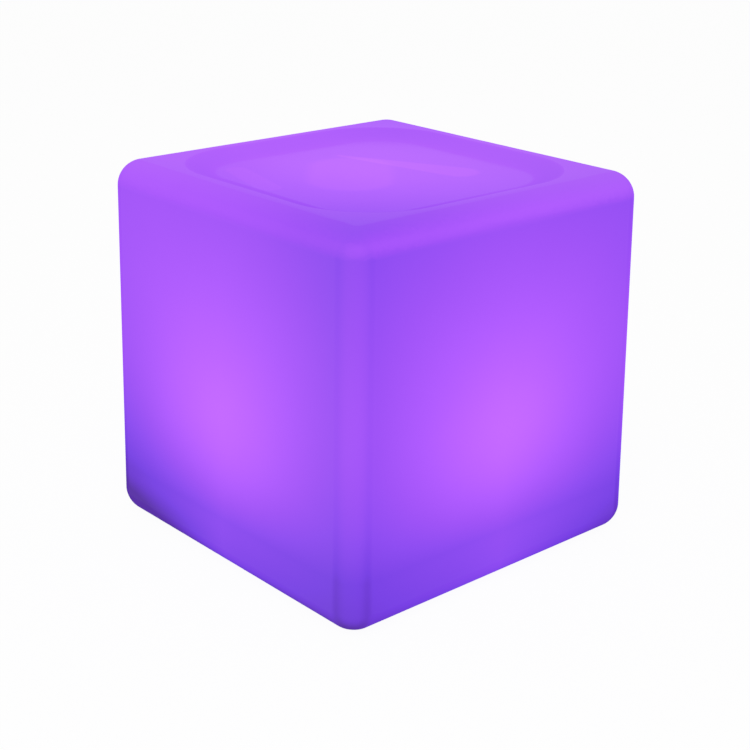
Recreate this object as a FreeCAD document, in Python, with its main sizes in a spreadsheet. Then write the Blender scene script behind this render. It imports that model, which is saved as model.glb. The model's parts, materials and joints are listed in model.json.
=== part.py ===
import FreeCAD, Part
import math
import os

import Sketcher

# LED cube light: a hollow moulded cube that rests on four rubber feet, with a
# lamp unit screwed into a threaded neck ring in the recess of its underside.
# Millimetres. Z points up, the floor is Z = 0, the cube's axis is the Z axis and
# -Y is the front.

SIZES = [
    ("base_width", 400, "cube, outside width at its bottom face"),
    ("shell_height", 393, "cube, bottom face to top face"),
    ("side_draft", 0.8, "taper of each side wall, degrees"),
    ("shell_wall", 4, "moulded wall"),
    ("corner_radius", 29, "upright edges"),
    ("top_edge_radius", 27, "edges round the top"),
    ("bottom_edge_radius", 27, "edges round the bottom"),
    ("dish_border", 33.5, "top face between its sides and the dished seat"),
    ("dish_corner_radius", 88, "corners of the dish, seen from above"),
    ("dish_depth", 10, "dish below the top face"),
    ("dish_slope", 70, "slope of the dish's wall from upright, degrees"),
    ("dish_rim_radius", 18, "rounding where the rim turns into the dish"),
    ("dish_floor_radius", 60, "rounding where the dish meets its floor"),
    ("recess_diameter", 160, "round recess in the underside"),
    ("recess_depth", 24, "bottom face up to the recess's ceiling"),
    ("recess_rim_radius", 6, "rounding of the recess's mouth"),
    ("recess_ceiling_radius", 2, "rounding where the recess meets its ceiling"),
    ("collar_height", 12, "moulded collar round the neck, above the ceiling"),
    ("neck_clearance", 0.6, "neck in the shell's hole, all round"),
    ("foot_diameter", 26, "rubber foot"),
    ("foot_proud", 2, "foot below the bottom face"),
    ("foot_seat_depth", 2, "foot let into the bottom face"),
    ("foot_seat_clearance", 0.3, "foot in its seat, all round"),
    ("foot_inset", 62, "foot's centre in from the side walls"),
    ("vent_diameter", 10, "moulding vent hole in the bottom face"),
    ("vent_offset", 118, "vent behind the axis"),
    ("vent_head_diameter", 16, "head of the vent's bung"),
    ("vent_head_thickness", 1.4, "head of the vent's bung"),
    ("barb_length", 3, "bung's barb behind the wall"),
    ("barb_width", 0.9, "barbs, beyond their stems"),
    ("neck_diameter", 122, "neck ring, outside of its tube"),
    ("neck_height", 19.8, "neck ring, flange face to the top of its tube"),
    ("ring_flange_diameter", 155, "neck ring's flange"),
    ("ring_flange_thickness", 3, "neck ring's flange"),
    ("gasket_thickness", 0.8, "flat gasket over the ring's flange"),
    ("gasket_inset", 1, "gasket inside the flange's edge"),
    ("gasket_clearance", 0.2, "gasket round the tube and, twice, round the screws"),
    ("ring_screw_count", 6, "screws that hold the neck ring"),
    ("ring_screw_circle", 143, "circle of the ring's screws"),
    ("ring_screw_diameter", 4, "ring screw"),
    ("ring_screw_head", 7.6, "ring screw's countersunk head"),
    ("ring_screw_length", 12, "ring screw under the flange's face"),
    ("insert_diameter", 7, "moulded-in brass insert"),
    ("insert_length", 10, "moulded-in brass insert"),
    ("boss_diameter", 11, "boss moulded round an insert"),
    ("boss_cover", 3, "boss above its insert"),
    ("cup_diameter", 111, "lamp unit's threaded cup, outside"),
    ("cup_wall", 3, "lamp unit's cup"),
    ("cup_depth", 34, "cup's floor up to its rim"),
    ("cup_floor", 3, "lamp unit's cup"),
    ("cup_clearance", 0.5, "cup in the neck's bore, all round"),
    ("thread_pitch", 8, "thread between cup and neck"),
    ("thread_ridge", 2.3, "thread's ridge out from the cup"),
    ("thread_root_width", 4.4, "ridge at the cup"),
    ("thread_crest_width", 2.2, "ridge at its crest"),
    ("thread_clearance", 0.4, "groove's crest and flanks off the ridge"),
    ("thread_start", 3, "ridge's first turn above the neck's flange face"),
    ("plate_diameter", 132, "lamp unit's flange"),
    ("plate_thickness", 4, "lamp unit's flange"),
    ("seat_gap", 0.2, "lamp unit's flange below the neck ring"),
    ("seal_diameter", 122, "centre line of the ring seal"),
    ("seal_width", 3.1, "ring seal, squeezed"),
    ("seal_height", 2.4, "ring seal, squeezed"),
    ("seal_bulge", 0.8, "rounding of the ring seal's sides"),
    ("seal_clearance", 0.25, "ring seal in its groove, each side"),
    ("face_clearance", 0.05, "ring seal off the faces above and below"),
    ("grip_length", 104, "grip bar across the underside"),
    ("grip_width", 19, "grip bar at its root"),
    ("grip_height", 13.5, "grip bar below the lamp unit's flange"),
    ("grip_draft", 8, "taper of the grip bar, degrees"),
    ("grip_wall", 3, "hollow grip bar"),
    ("grip_rounding", 2, "grip bar's lower edges"),
    ("post_circle", 93, "posts that carry the lamp's plate"),
    ("post_diameter", 7, "post"),
    ("screw_diameter", 3, "screws of the lamp unit"),
    ("screw_head_diameter", 5.6, "screws of the lamp unit"),
    ("screw_head_height", 1.9, "screws of the lamp unit"),
    ("screw_length", 12, "screws of the dome"),
    ("screw_clearance", 0.05, "screws in their holes, all round"),
    ("driver_hole", 2, "driver's hole in a screw's head"),
    ("driver_depth", 1.1, "driver's hole in a screw's head"),
    ("spreader_thickness", 2, "aluminium plate under the lamps"),
    ("spreader_clearance", 0.4, "plate inside the cup, all round"),
    ("lead_hole", 6, "hole in the plate for the lamps' lead"),
    ("led_board_diameter", 78, "lamps' circuit board"),
    ("board_thickness", 1.6, "circuit boards"),
    ("led_size", 5, "lamp chip, square"),
    ("led_height", 1.6, "lamp chip"),
    ("outer_led_count", 12, "lamp chips in the outer ring"),
    ("outer_led_circle", 54, "lamp chips in the outer ring"),
    ("inner_led_count", 6, "lamp chips in the inner ring"),
    ("inner_led_circle", 26, "lamp chips in the inner ring"),
    ("led_screw_circle", 68, "screws of the lamps' board"),
    ("led_screw_count", 3, "screws of the lamps' board"),
    ("dome_flange_thickness", 2.5, "clear dome over the lamps"),
    ("dome_base_diameter", 85, "dome where it leaves its flange"),
    ("dome_rise", 14, "dome above its flange"),
    ("dome_wall", 2.2, "clear dome over the lamps"),
    ("dome_inset", 0.3, "dome's flange inside the cup's side"),
    ("dome_seal_thickness", 1, "gasket under the dome"),
    ("cell_diameter", 18.4, "battery cell"),
    ("cell_length", 65, "battery cell"),
    ("cell_rounding", 0.8, "rounding of a cell's ends"),
    ("cell_spacing", 19.6, "between the two cells' axes"),
    ("cell_clearance", 0.3, "cell in its cradle"),
    ("cradle_base", 1.8, "cradle under the cells"),
    ("cradle_height", 9, "cradle"),
    ("cradle_width", 43, "cradle across the cells"),
    ("cradle_length", 72, "cradle along the cells"),
    ("lug_length", 12, "cradle's lug past its end"),
    ("lug_width", 10, "cradle's lug"),
    ("lug_thickness", 2, "cradle's lug"),
    ("lug_rise", 3.8, "cradle's lug above the cup's floor"),
    ("lug_screw_length", 4.5, "screws of the cradle"),
    ("lug_offset", 16, "lug beside the cradle's middle"),
    ("strap_thickness", 1, "strap over the cells"),
    ("strap_width", 12, "strap over the cells"),
    ("strap_offset", 24, "strap left of the axis"),
    ("tab_thickness", 0.4, "nickel strips on the cells' ends"),
    ("tab_width", 7, "nickel strips on the cells' ends"),
    ("guard_board_length", 40, "battery's protection board"),
    ("guard_board_width", 23, "battery's protection board"),
    ("guard_board_thickness", 1.2, "battery's protection board"),
    ("guard_board_offset", 8, "protection board right of the axis"),
    ("clip_length", 6, "lead's clip on the protection board"),
    ("clip_width", 3, "lead's clip on the protection board"),
    ("clip_height", 4, "lead's clip on the protection board"),
    ("clip_inset", 6, "clip's middle in from the board's end"),
    ("clip_margin", 4.5, "clip's face in from the board's front side"),
    ("control_board_length", 50, "control board"),
    ("control_board_width", 20, "control board"),
    ("stand_inset", 5, "control board's stands in from its ends"),
    ("controller_length", 6, "controller chip"),
    ("controller_width", 5, "controller chip"),
    ("memory_length", 5.2, "memory chip"),
    ("memory_width", 3.6, "memory chip"),
    ("chip_height", 1.5, "controller and memory chips"),
    ("coil_size", 6, "charging coil, square"),
    ("coil_height", 3.2, "charging coil"),
    ("capacitor_diameter", 5, "capacitor cans"),
    ("capacitor_height", 5.4, "capacitor cans"),
    ("plug_width", 6, "plug housings"),
    ("plug_depth", 5, "plug housings that face back"),
    ("plug_height", 5.4, "plug housings that face back"),
    ("lamp_plug_depth", 8, "plug housing of the lamps"),
    ("lamp_plug_height", 6, "plug housing of the lamps"),
    ("board_screw_length", 8, "screws of the control board"),
    ("button_offset", 35, "button in front of the axis"),
    ("button_diameter", 14.2, "power button's cap"),
    ("button_clearance", 0.1, "cap in its bezel, all round"),
    ("button_recess", 0.6, "cap below its bezel's face"),
    ("button_travel", 1.5, "power button's stroke"),
    ("button_guide", 3.7, "bezel's bore round the cap"),
    ("button_flange", 1.2, "cap's inner flange"),
    ("button_flange_diameter", 17.2, "cap's inner flange"),
    ("bezel_diameter", 20, "bezel's barrel"),
    ("bezel_flange_diameter", 25, "bezel's face"),
    ("bezel_flange_thickness", 1.4, "bezel's face"),
    ("bezel_above_floor", 2.6, "bezel's barrel above the cup's floor"),
    ("nut_thickness", 2, "nuts inside the cup"),
    ("nut_clearance", 0.05, "nuts round their barrels"),
    ("bezel_nut_width", 26, "button's nut across its flats"),
    ("socket_nut_width", 15, "socket's nut across its flats"),
    ("spring_length", 7.9, "button's spring as fitted"),
    ("spring_diameter", 7.8, "spring's middle diameter"),
    ("spring_wire", 0.7, "spring's wire"),
    ("spring_turns", 4, "spring's turns"),
    ("plunger_diameter", 3.4, "switch's plunger"),
    ("plunger_clearance", 0.05, "plunger in the switch, all round"),
    ("switch_size", 12, "switch, square"),
    ("switch_height", 4.5, "switch"),
    ("switch_rounding", 1, "switch's upright edges"),
    ("switch_back", 0.8, "switch's wall behind its plunger"),
    ("plunger_overlap", 1.6, "plunger inside the switch at rest"),
    ("stem_diameter", 5, "button's stem"),
    ("stem_length", 2, "button's stem above its flange"),
    ("cap_hollow", 0.5, "hollow of the button's face"),
    ("socket_offset", 36, "charging socket behind the axis"),
    ("socket_diameter", 11, "charging socket's barrel"),
    ("socket_flange_diameter", 16, "charging socket's flange"),
    ("socket_flange_thickness", 1.6, "charging socket's flange"),
    ("socket_bore", 6.4, "charging socket's bore"),
    ("socket_depth", 11, "charging socket's bore"),
    ("socket_height", 14.5, "socket's barrel above the lamp unit's flange"),
    ("socket_pin_diameter", 2.1, "charging socket's centre pin"),
    ("pin_clearance", 0.3, "pin's tip above the flap's plug"),
    ("pin_tail", 1, "pin past the socket's end"),
    ("flap_clearance", 0.2, "flap under the socket"),
    ("flap_thickness", 1.8, "silicone flap"),
    ("flap_width", 14, "silicone flap"),
    ("flap_hinge_offset", 9.6, "flap's bend beside the socket's axis"),
    ("flap_tab", 4, "flap's pull tab past the socket's flange"),
    ("flap_end_radius", 6.5, "corners of the flap's free end"),
    ("pull_ridge_width", 1.6, "ridge under the flap's pull tab"),
    ("pull_ridge_length", 6, "ridge under the flap's pull tab"),
    ("pull_ridge_height", 1, "ridge under the flap's pull tab"),
    ("pull_inset", 2.6, "ridge in from the flap's free end"),
    ("flap_plug_height", 3, "flap's plug in the socket"),
    ("flap_plug_root", 5.8, "flap's plug at its root"),
    ("flap_plug_tip", 4.4, "flap's plug at its tip"),
    ("hinge_gap", 0.35, "flap's end off its anchor"),
    ("anchor_length", 8, "flap's anchor"),
    ("anchor_gap", 1, "middle of the flap's bend to its anchor's pad"),
    ("anchor_stem_diameter", 3.6, "anchor's stem through the cup's floor"),
    ("anchor_barb_length", 2, "anchor's barb above the cup's floor"),
    ("lead_diameter", 2, "insulated leads"),
    ("hole_clearance", 0.1, "small barrels and stems in the floor, all round"),
    ("small_bevel", 0.6, "bevels of small turned pieces"),
]

doc = FreeCAD.newDocument("led_cube_light")
sheet = doc.addObject("Spreadsheet::Sheet", "sizes")
for row, (alias, number, note) in enumerate(SIZES, 1):
    sheet.set(f"A{row}", note)
    sheet.set(f"B{row}", str(number))
    sheet.setAlias(f"B{row}", alias)
doc.recompute()

# Levels and radii that several pieces share, as expressions of the sheet's cells.
BASE = "sizes.foot_proud"
TOP = f"({BASE} + sizes.shell_height)"
CEILING = f"({BASE} + sizes.recess_depth)"
RING_SEAT = f"({CEILING} - sizes.gasket_thickness)"
RING_FACE = f"({RING_SEAT} - sizes.ring_flange_thickness)"
PLATE_TOP = f"({RING_FACE} - sizes.seat_gap)"
PLATE_FACE = f"({PLATE_TOP} - sizes.plate_thickness)"
FLOOR = f"({PLATE_FACE} + sizes.cup_floor)"
CUP_RIM = f"({FLOOR} + sizes.cup_depth)"
POST_TOP = f"({CUP_RIM} - sizes.spreader_thickness)"
LED_BOARD_TOP = f"({CUP_RIM} + sizes.board_thickness)"
DOME_SEAT = f"({CUP_RIM} + sizes.dome_seal_thickness)"
DOME_FLANGE = f"({DOME_SEAT} + sizes.dome_flange_thickness)"
DOME_CROWN = f"({DOME_FLANGE} + sizes.dome_rise)"
CELL_AXIS = f"({FLOOR} + sizes.cradle_base + sizes.cell_clearance + sizes.cell_diameter / 2)"
BEZEL_FACE = f"({PLATE_FACE} - sizes.bezel_flange_thickness)"
BUTTON_FACE = f"({BEZEL_FACE} + sizes.button_recess)"
BUTTON_LEDGE = f"({BEZEL_FACE} + sizes.button_guide)"
SPRING_SEAT = f"({BUTTON_LEDGE} + sizes.button_clearance + sizes.button_flange)"
STEM_TOP = f"({SPRING_SEAT} + sizes.stem_length)"
SWITCH_FACE = f"({SPRING_SEAT} + sizes.spring_length)"
CONTROL_BOARD = f"({SWITCH_FACE} + sizes.switch_height)"
CONTROL_TOP = f"({CONTROL_BOARD} + sizes.board_thickness)"
SOCKET_FACE = f"({PLATE_FACE} - sizes.socket_flange_thickness)"
SOCKET_TOP = f"({PLATE_FACE} + sizes.socket_height)"
PIN_END = f"({SOCKET_TOP} + sizes.pin_tail)"
FLAP_TOP = f"({SOCKET_FACE} - sizes.flap_clearance)"
FLAP_FACE = f"({FLAP_TOP} - sizes.flap_thickness)"

BEVEL = "sizes.small_bevel"
TOP_HALF = "(sizes.base_width / 2 - sizes.shell_height * tan(sizes.side_draft))"
DISH_HALF = f"({TOP_HALF} - sizes.dish_border)"
FOOT_OUT = "(sizes.base_width / 2 - sizes.foot_inset)"
NECK_BORE = "(sizes.cup_diameter / 2 + sizes.cup_clearance)"
NECK_RADIUS = "(sizes.neck_diameter / 2)"
NECK_HOLE = f"({NECK_RADIUS} + sizes.neck_clearance)"
CUP_RADIUS = "(sizes.cup_diameter / 2)"
CUP_INSIDE = f"({CUP_RADIUS} - sizes.cup_wall)"
DOME_EDGE = f"({CUP_RADIUS} - sizes.dome_inset)"
RIDGE_TIP = f"({CUP_RADIUS} + sizes.thread_ridge)"
SCREW_HOLE = "(sizes.screw_diameter / 2 + sizes.screw_clearance)"
BOARD_HOLE = "(sizes.screw_diameter / 2 + sizes.hole_clearance)"
RING_SCREW_HOLE = "(sizes.ring_screw_diameter / 2 + sizes.screw_clearance)"
POST_OUT = "(sizes.post_circle / 2 * sqrt(0.5))"
LAMP_LEAD_X, LAMP_LEAD_Y = "13", "(4 - sizes.button_offset)"
STANDOFF_X = "(sizes.control_board_length / 2 - sizes.stand_inset)"
LUG_X = "(sizes.cradle_length / 2 + sizes.lug_length / 2)"
LUG_SEAT = f"({FLOOR} + sizes.lug_rise)"
ANCHOR_MIDDLE = "(sizes.flap_hinge_offset + sizes.anchor_gap + sizes.anchor_length / 2)"


def crown_rise(radius, height):
    """How far a crown's half arc bulges off its chord, with its centre on the axis."""
    sphere = f"(({radius} ^ 2 + ({height}) ^ 2) / 2 / ({height}))"
    return f"({sphere} * (1 - sqrt(1 - ({height}) / 2 / {sphere})))"


def value(expression):
    """The number that an expression of the sheet stands for."""
    found = sheet.evalExpression(str(expression))
    return float(getattr(found, "Value", found))


def new_body(name):
    body = doc.addObject("PartDesign::Body", name)
    body.Label = name
    return body


def origin_feature(body, role):
    return next(item for item in body.Origin.OriginFeatures if item.Role == role)


class Outline:
    """A sketch on one of its body's origin planes, drawn from bound corners."""

    def __init__(self, body, name, level="0", role="XY_Plane", shift="0"):
        self.body = body
        self.sketch = body.newObject("Sketcher::SketchObject", name)
        self.sketch.AttachmentSupport = [(origin_feature(body, role), "")]
        self.sketch.MapMode = "FlatFace"
        self.sketch.setExpression("AttachmentOffset.Base.z", level)
        self.sketch.setExpression("AttachmentOffset.Base.x", shift)
        self.count = 0

    def bind(self, kind, *rest, to):
        """Adds a dimension and ties it to an expression."""
        index = self.sketch.addConstraint(Sketcher.Constraint(kind, *rest, value(to)))
        self.count += 1
        self.sketch.renameConstraint(index, f"size{self.count}")
        self.sketch.setExpression(f"Constraints.size{self.count}", str(to))

    def place(self, geometry, point, x, y):
        self.bind("DistanceX", -1, 1, geometry, point, to=x)
        self.bind("DistanceY", -1, 1, geometry, point, to=y)

    def polygon(self, corners, arcs=None):
        """Closed outline. An arc, given by its first corner, has its middle off
        its chord by a rise, to the right of the way along it."""
        arcs = arcs or {}
        spots = [FreeCAD.Vector(value(x), value(y), 0) for x, y in corners]
        first, number = len(self.sketch.Geometry), len(spots)
        ends = []
        for i, spot in enumerate(spots):
            following = spots[(i + 1) % number]
            if i not in arcs:
                self.sketch.addGeometry(Part.LineSegment(spot, following))
                ends.append((1, 2))
                continue
            chord, rise = following - spot, value(arcs[i])
            side = FreeCAD.Vector(chord.y, -chord.x, 0).normalize()
            middle = (spot + following) * 0.5 + side * rise
            if rise > 0:
                self.sketch.addGeometry(Part.Arc(spot, middle, following))
            else:
                self.sketch.addGeometry(Part.Arc(following, middle, spot))
            ends.append((1, 2) if rise > 0 else (2, 1))
        for i, (x, y) in enumerate(corners):
            before = (i - 1) % number
            self.sketch.addConstraint(
                Sketcher.Constraint(
                    "Coincident", first + before, ends[before][1], first + i, ends[i][0]
                )
            )
            self.place(first + i, ends[i][0], x, y)
            if i in arcs:
                self.centre(first + i, corners[i], corners[(i + 1) % number], arcs[i])
        return self

    def centre(self, arc, start, end, rise):
        """Ties an arc's centre, which lies square to its chord, by one ordinate."""
        (x0, y0), (x1, y1) = start, end
        chord = f"sqrt((({x1}) - ({x0})) ^ 2 + (({y1}) - ({y0})) ^ 2)"
        back = f"(({rise}) / 2 / {chord} - {chord} / 8 / ({rise}))"
        if abs(value(f"({y1}) - ({y0})")) > abs(value(f"({x1}) - ({x0})")):
            middle = f"(({x0}) + ({x1})) / 2 + (({y1}) - ({y0})) * {back}"
            self.bind("DistanceX", -1, 1, arc, 3, to=middle)
        else:
            middle = f"(({y0}) + ({y1})) / 2 - (({x1}) - ({x0})) * {back}"
            self.bind("DistanceY", -1, 1, arc, 3, to=middle)

    def circle(self, radius, x="0", y="0"):
        centre = FreeCAD.Vector(value(x), value(y), 0)
        circle = Part.Circle(centre, FreeCAD.Vector(0, 0, 1), value(radius))
        index = self.sketch.addGeometry(circle)
        self.bind("Radius", index, to=radius)
        self.place(index, 3, x, y)
        return self

    def rectangle(self, half_x, half_y, x="0", y="0"):
        corners = [(-1, -1), (1, -1), (1, 1), (-1, 1)]
        return self.polygon(
            [(f"{x} + {i} * {half_x}", f"{y} + {j} * {half_y}") for i, j in corners]
        )

    def rounded_square(self, half, radius):
        """A square about the origin whose corners are quarter circles."""
        centre = f"({half} - {radius})"
        turns = [(1, 1), (-1, 1), (-1, -1), (1, -1)]
        for i, (x, y) in enumerate(turns):
            middle = FreeCAD.Vector(x * value(centre), y * value(centre), 0)
            circle = Part.Circle(middle, FreeCAD.Vector(0, 0, 1), value(radius))
            quarter = math.pi / 2
            self.sketch.addGeometry(Part.ArcOfCircle(circle, i * quarter, (i + 1) * quarter))
        arcs = self.sketch.Geometry[:4]
        for i in range(4):
            self.sketch.addGeometry(
                Part.LineSegment(arcs[i].EndPoint, arcs[(i + 1) % 4].StartPoint)
            )
        for i, (x, y) in enumerate(turns):
            start, end = ("Horizontal", "Vertical") if i % 2 == 0 else ("Vertical", "Horizontal")
            for constraint in (
                ("Coincident", i, 2, 4 + i, 1),
                ("Coincident", 4 + i, 2, (i + 1) % 4, 1),
                (start, i, 3, i, 1),
                (end, i, 3, i, 2),
            ):
                self.sketch.addConstraint(Sketcher.Constraint(*constraint))
            self.place(i, 3, f"{x} * {centre}", f"{y} * {centre}")
            self.bind("Radius", i, to=radius)
        return self

    def feature(self, kind, name, **bound):
        made = self.body.newObject(kind, name)
        made.Profile = self.sketch
        for key, expression in bound.items():
            made.setExpression(key, expression)
        return made

    def pad(self, name, length, taper=None, down=False, both=False):
        made = self.feature("PartDesign::Pad", name, Length=length)
        made.Reversed = down
        made.SideType = "Symmetric" if both else "One side"
        if taper:
            made.setExpression("TaperAngle", taper)
        return settle(made)

    def pocket(self, name, length, taper=None, up=False, both=False):
        """Cuts down from the sketch, or up or both ways."""
        before = self.body.Tip
        solid = settle(before).Shape.Volume
        made = self.feature("PartDesign::Pocket", name, Length=length)
        made.Reversed = up
        made.SideType = "Symmetric" if both else "One side"
        if taper:
            made.setExpression("TaperAngle", taper)
        settle(made)
        if not made.Shape.Volume < solid - 1e-3:
            raise RuntimeError(f"{name} cuts nothing")
        return made

    def turn(self, name, cut=False):
        """Revolves the outline about its own upright axis."""
        kind = "PartDesign::Groove" if cut else "PartDesign::Revolution"
        made = self.feature(kind, name)
        made.ReferenceAxis = (self.sketch, ["V_Axis"])
        made.Angle = 360
        return settle(made)

    def helix(self, name, pitch, height, cut=False):
        kind = "PartDesign::SubtractiveHelix" if cut else "PartDesign::AdditiveHelix"
        made = self.body.newObject(kind, name)
        made.Profile = self.sketch
        made.ReferenceAxis = (self.sketch, ["V_Axis"])
        made.Mode = "pitch-height-angle"
        made.setExpression("Pitch", pitch)
        made.setExpression("Height", height)
        made.Angle = 0
        made.Growth = 0
        made.LeftHanded = False
        made.Reversed = False
        return settle(made)


def settle(feature):
    doc.recompute()
    broken = any(state in ("Invalid", "Error") for state in feature.State)
    if broken or feature.Shape.isNull():
        raise RuntimeError(f"{feature.Name} can't be built")
    return feature


def around(feature, count, name):
    """Repeats a feature round its body's upright axis."""
    body = feature.getParentGeoFeatureGroup()
    made = body.newObject("PartDesign::PolarPattern", name)
    made.Originals = [feature]
    made.Axis = (origin_feature(body, "Z_Axis"), [""])
    made.Angle = 360
    made.setExpression("Occurrences", count)
    body.Tip = made
    return settle(made)


def round_edges(feature, test, radius, name):
    """Fillets those edges of a feature that pass the test."""
    body = feature.getParentGeoFeatureGroup()
    edges = enumerate(feature.Shape.Edges, 1)
    chosen = [f"Edge{number}" for number, edge in edges if test(edge)]
    made = body.newObject("PartDesign::Fillet", name)
    made.Base = (feature, chosen)
    made.setExpression("Radius", radius)
    return settle(made)


def is_level(edge, height):
    box = edge.BoundBox
    return box.ZLength < 0.01 and abs(box.ZMin - height) < 0.01


def within(edge, half):
    box = edge.BoundBox
    return max(box.XMax, box.YMax, -box.XMin, -box.YMin) < half + 0.01


def put(body, x="0", y="0", z="0"):
    for letter, expression in (("x", x), ("y", y), ("z", z)):
        body.setExpression(f"Placement.Base.{letter}", expression)
    return body


# ---------------------------------------------------------------- the shell


def moulded_form(body, inset):
    """The cube as the mould gives it, or its hollow when inset by the wall."""
    base, top = f"({BASE} + {inset})", f"({TOP} - {inset})"
    half = f"(sizes.base_width / 2 - {inset})"
    block = Outline(body, "plan", base).rectangle(half, half)
    block = block.pad("block", f"{top} - {base}", taper="-sizes.side_draft")
    upright = round_edges(
        block,
        lambda edge: edge.BoundBox.ZLength > 1,
        f"sizes.corner_radius - {inset}",
        "upright_edges",
    )
    rims = upright
    for name, level in (("top", top), ("bottom", base)):
        height = value(level)
        rims = round_edges(
            rims,
            lambda edge: is_level(edge, height),
            f"sizes.{name}_edge_radius - {inset}",
            f"{name}_edges",
        )
    dish_half = value(DISH_HALF)
    dish = Outline(body, "dish_plan", top)
    dish = dish.rounded_square(DISH_HALF, "sizes.dish_corner_radius")
    dish = dish.pocket("dish", "sizes.dish_depth", taper="-sizes.dish_slope")
    rim, floor = value(top), value(f"{top} - sizes.dish_depth")
    dish = round_edges(
        dish,
        lambda edge: is_level(edge, rim) and within(edge, dish_half),
        f"sizes.dish_rim_radius + {inset}",
        "dish_rim",
    )
    dish = round_edges(
        dish, lambda edge: is_level(edge, floor), f"sizes.dish_floor_radius - {inset}", "dish_floor"
    )
    recess = Outline(body, "recess_plan", base).circle(f"sizes.recess_diameter / 2 + {inset}")
    recess = recess.pocket("recess", "sizes.recess_depth", up=True)
    reach = value(f"sizes.recess_diameter / 2 + {inset}")
    for name, level, radius in (
        ("rim", base, f"sizes.recess_rim_radius - {inset}"),
        ("ceiling", f"{CEILING} + {inset}", f"sizes.recess_ceiling_radius + {inset}"),
    ):
        height = value(level)
        recess = round_edges(
            recess,
            lambda edge: within(edge, reach) and is_level(edge, height),
            radius,
            f"recess_{name}",
        )
    return recess


def make_shell():
    hollow = new_body("hollow")
    moulded_form(hollow, "sizes.shell_wall")
    body = new_body("shell")
    moulded_form(body, "0")
    cut = body.newObject("PartDesign::Boolean", "hollowed")
    cut.Type = "Cut"
    cut.setObjects([hollow])
    settle(cut)
    inner = f"({CEILING} + sizes.shell_wall)"
    collar = Outline(body, "collar_plan", CEILING).circle(f"{NECK_HOLE} + sizes.shell_wall")
    collar.pad("collar", "sizes.collar_height")
    boss = Outline(body, "boss_plan", CEILING)
    boss.circle("sizes.boss_diameter / 2", x="sizes.ring_screw_circle / 2")
    boss = boss.pad("boss", "sizes.insert_length + sizes.boss_cover")
    around(boss, "sizes.ring_screw_count", "bosses")
    hole = Outline(body, "insert_plan", CEILING)
    hole.circle("sizes.insert_diameter / 2", x="sizes.ring_screw_circle / 2")
    hole = hole.pocket("insert_hole", "sizes.insert_length", up=True)
    around(hole, "sizes.ring_screw_count", "insert_holes")
    neck = Outline(body, "neck_plan", CEILING).circle(NECK_HOLE)
    neck.pocket("neck_hole", f"{inner} - {CEILING} + sizes.collar_height", up=True)
    foot = Outline(body, "foot_plan", BASE)
    foot.circle("sizes.foot_diameter / 2 + sizes.foot_seat_clearance", x=FOOT_OUT, y=FOOT_OUT)
    foot = foot.pocket("foot_seat", "sizes.foot_seat_depth", up=True)
    around(foot, "4", "foot_seats")
    vent = Outline(body, "vent_plan", BASE)
    vent.circle("sizes.vent_diameter / 2", y="sizes.vent_offset")
    vent.pocket("vent_hole", "sizes.shell_wall", up=True)
    return body


def make_feet():
    body = new_body("rubber_feet")
    foot = Outline(body, "foot_plan").circle("sizes.foot_diameter / 2", x=FOOT_OUT, y=FOOT_OUT)
    foot = foot.pad("foot", "sizes.foot_proud + sizes.foot_seat_depth")
    made = body.newObject("PartDesign::Chamfer", "foot_bevel")
    edges = enumerate(foot.Shape.Edges, 1)
    made.Base = (foot, [f"Edge{number}" for number, edge in edges if is_level(edge, 0)])
    made.setExpression("Size", "sizes.foot_proud / 2")
    settle(made)
    pattern = body.newObject("PartDesign::PolarPattern", "feet")
    pattern.Originals = [foot, made]
    pattern.Axis = (origin_feature(body, "Z_Axis"), [""])
    pattern.Angle = 360
    pattern.Occurrences = 4
    body.Tip = pattern
    settle(pattern)
    return body


def make_vent_plug():
    """A rubber bung: a flat head, a stem through the wall and a barb behind it."""
    body = new_body("vent_plug")
    head, stem = "sizes.vent_head_diameter / 2", "sizes.vent_diameter / 2 - sizes.hole_clearance"
    low, inner = f"{BASE} - sizes.vent_head_thickness", f"{BASE} + sizes.shell_wall"
    barb = f"{inner} + sizes.hole_clearance"
    Outline(body, "section", role="XZ_Plane").polygon([
        ("0", low),
        (f"{head} - {BEVEL}", low),
        (head, f"{low} + {BEVEL}"),
        (head, BASE),
        (stem, BASE),
        (stem, barb),
        (f"{stem} + sizes.barb_width", barb),
        (f"{stem} - sizes.barb_width", f"{barb} + sizes.barb_length"),
        ("0", f"{barb} + sizes.barb_length"),
    ]).turn("bung")
    return put(body, y="sizes.vent_offset")


# ------------------------------------------------------------- the neck ring


def thread_section(body, name, grown, start):
    """A ridge of the thread in section, or its groove when grown by a clearance."""
    root = f"({CUP_RADIUS} - 0.3)" if grown == "0" else f"({NECK_BORE} - 0.3)"
    tip = f"({RIDGE_TIP} + {grown})"
    slope = "(sizes.thread_root_width - sizes.thread_crest_width) / 2 / sizes.thread_ridge"
    half_tip = f"(sizes.thread_crest_width / 2 + {grown})"
    half_root = f"({half_tip} + ({tip} - {root}) * ({slope}))"
    return Outline(body, name, role="XZ_Plane").polygon([
        (root, f"{start} - {half_root}"),
        (tip, f"{start} - {half_tip}"),
        (tip, f"{start} + {half_tip}"),
        (root, f"{start} + {half_root}"),
    ])


RIDGE_START = f"({RING_FACE} + sizes.thread_start)"


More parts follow.
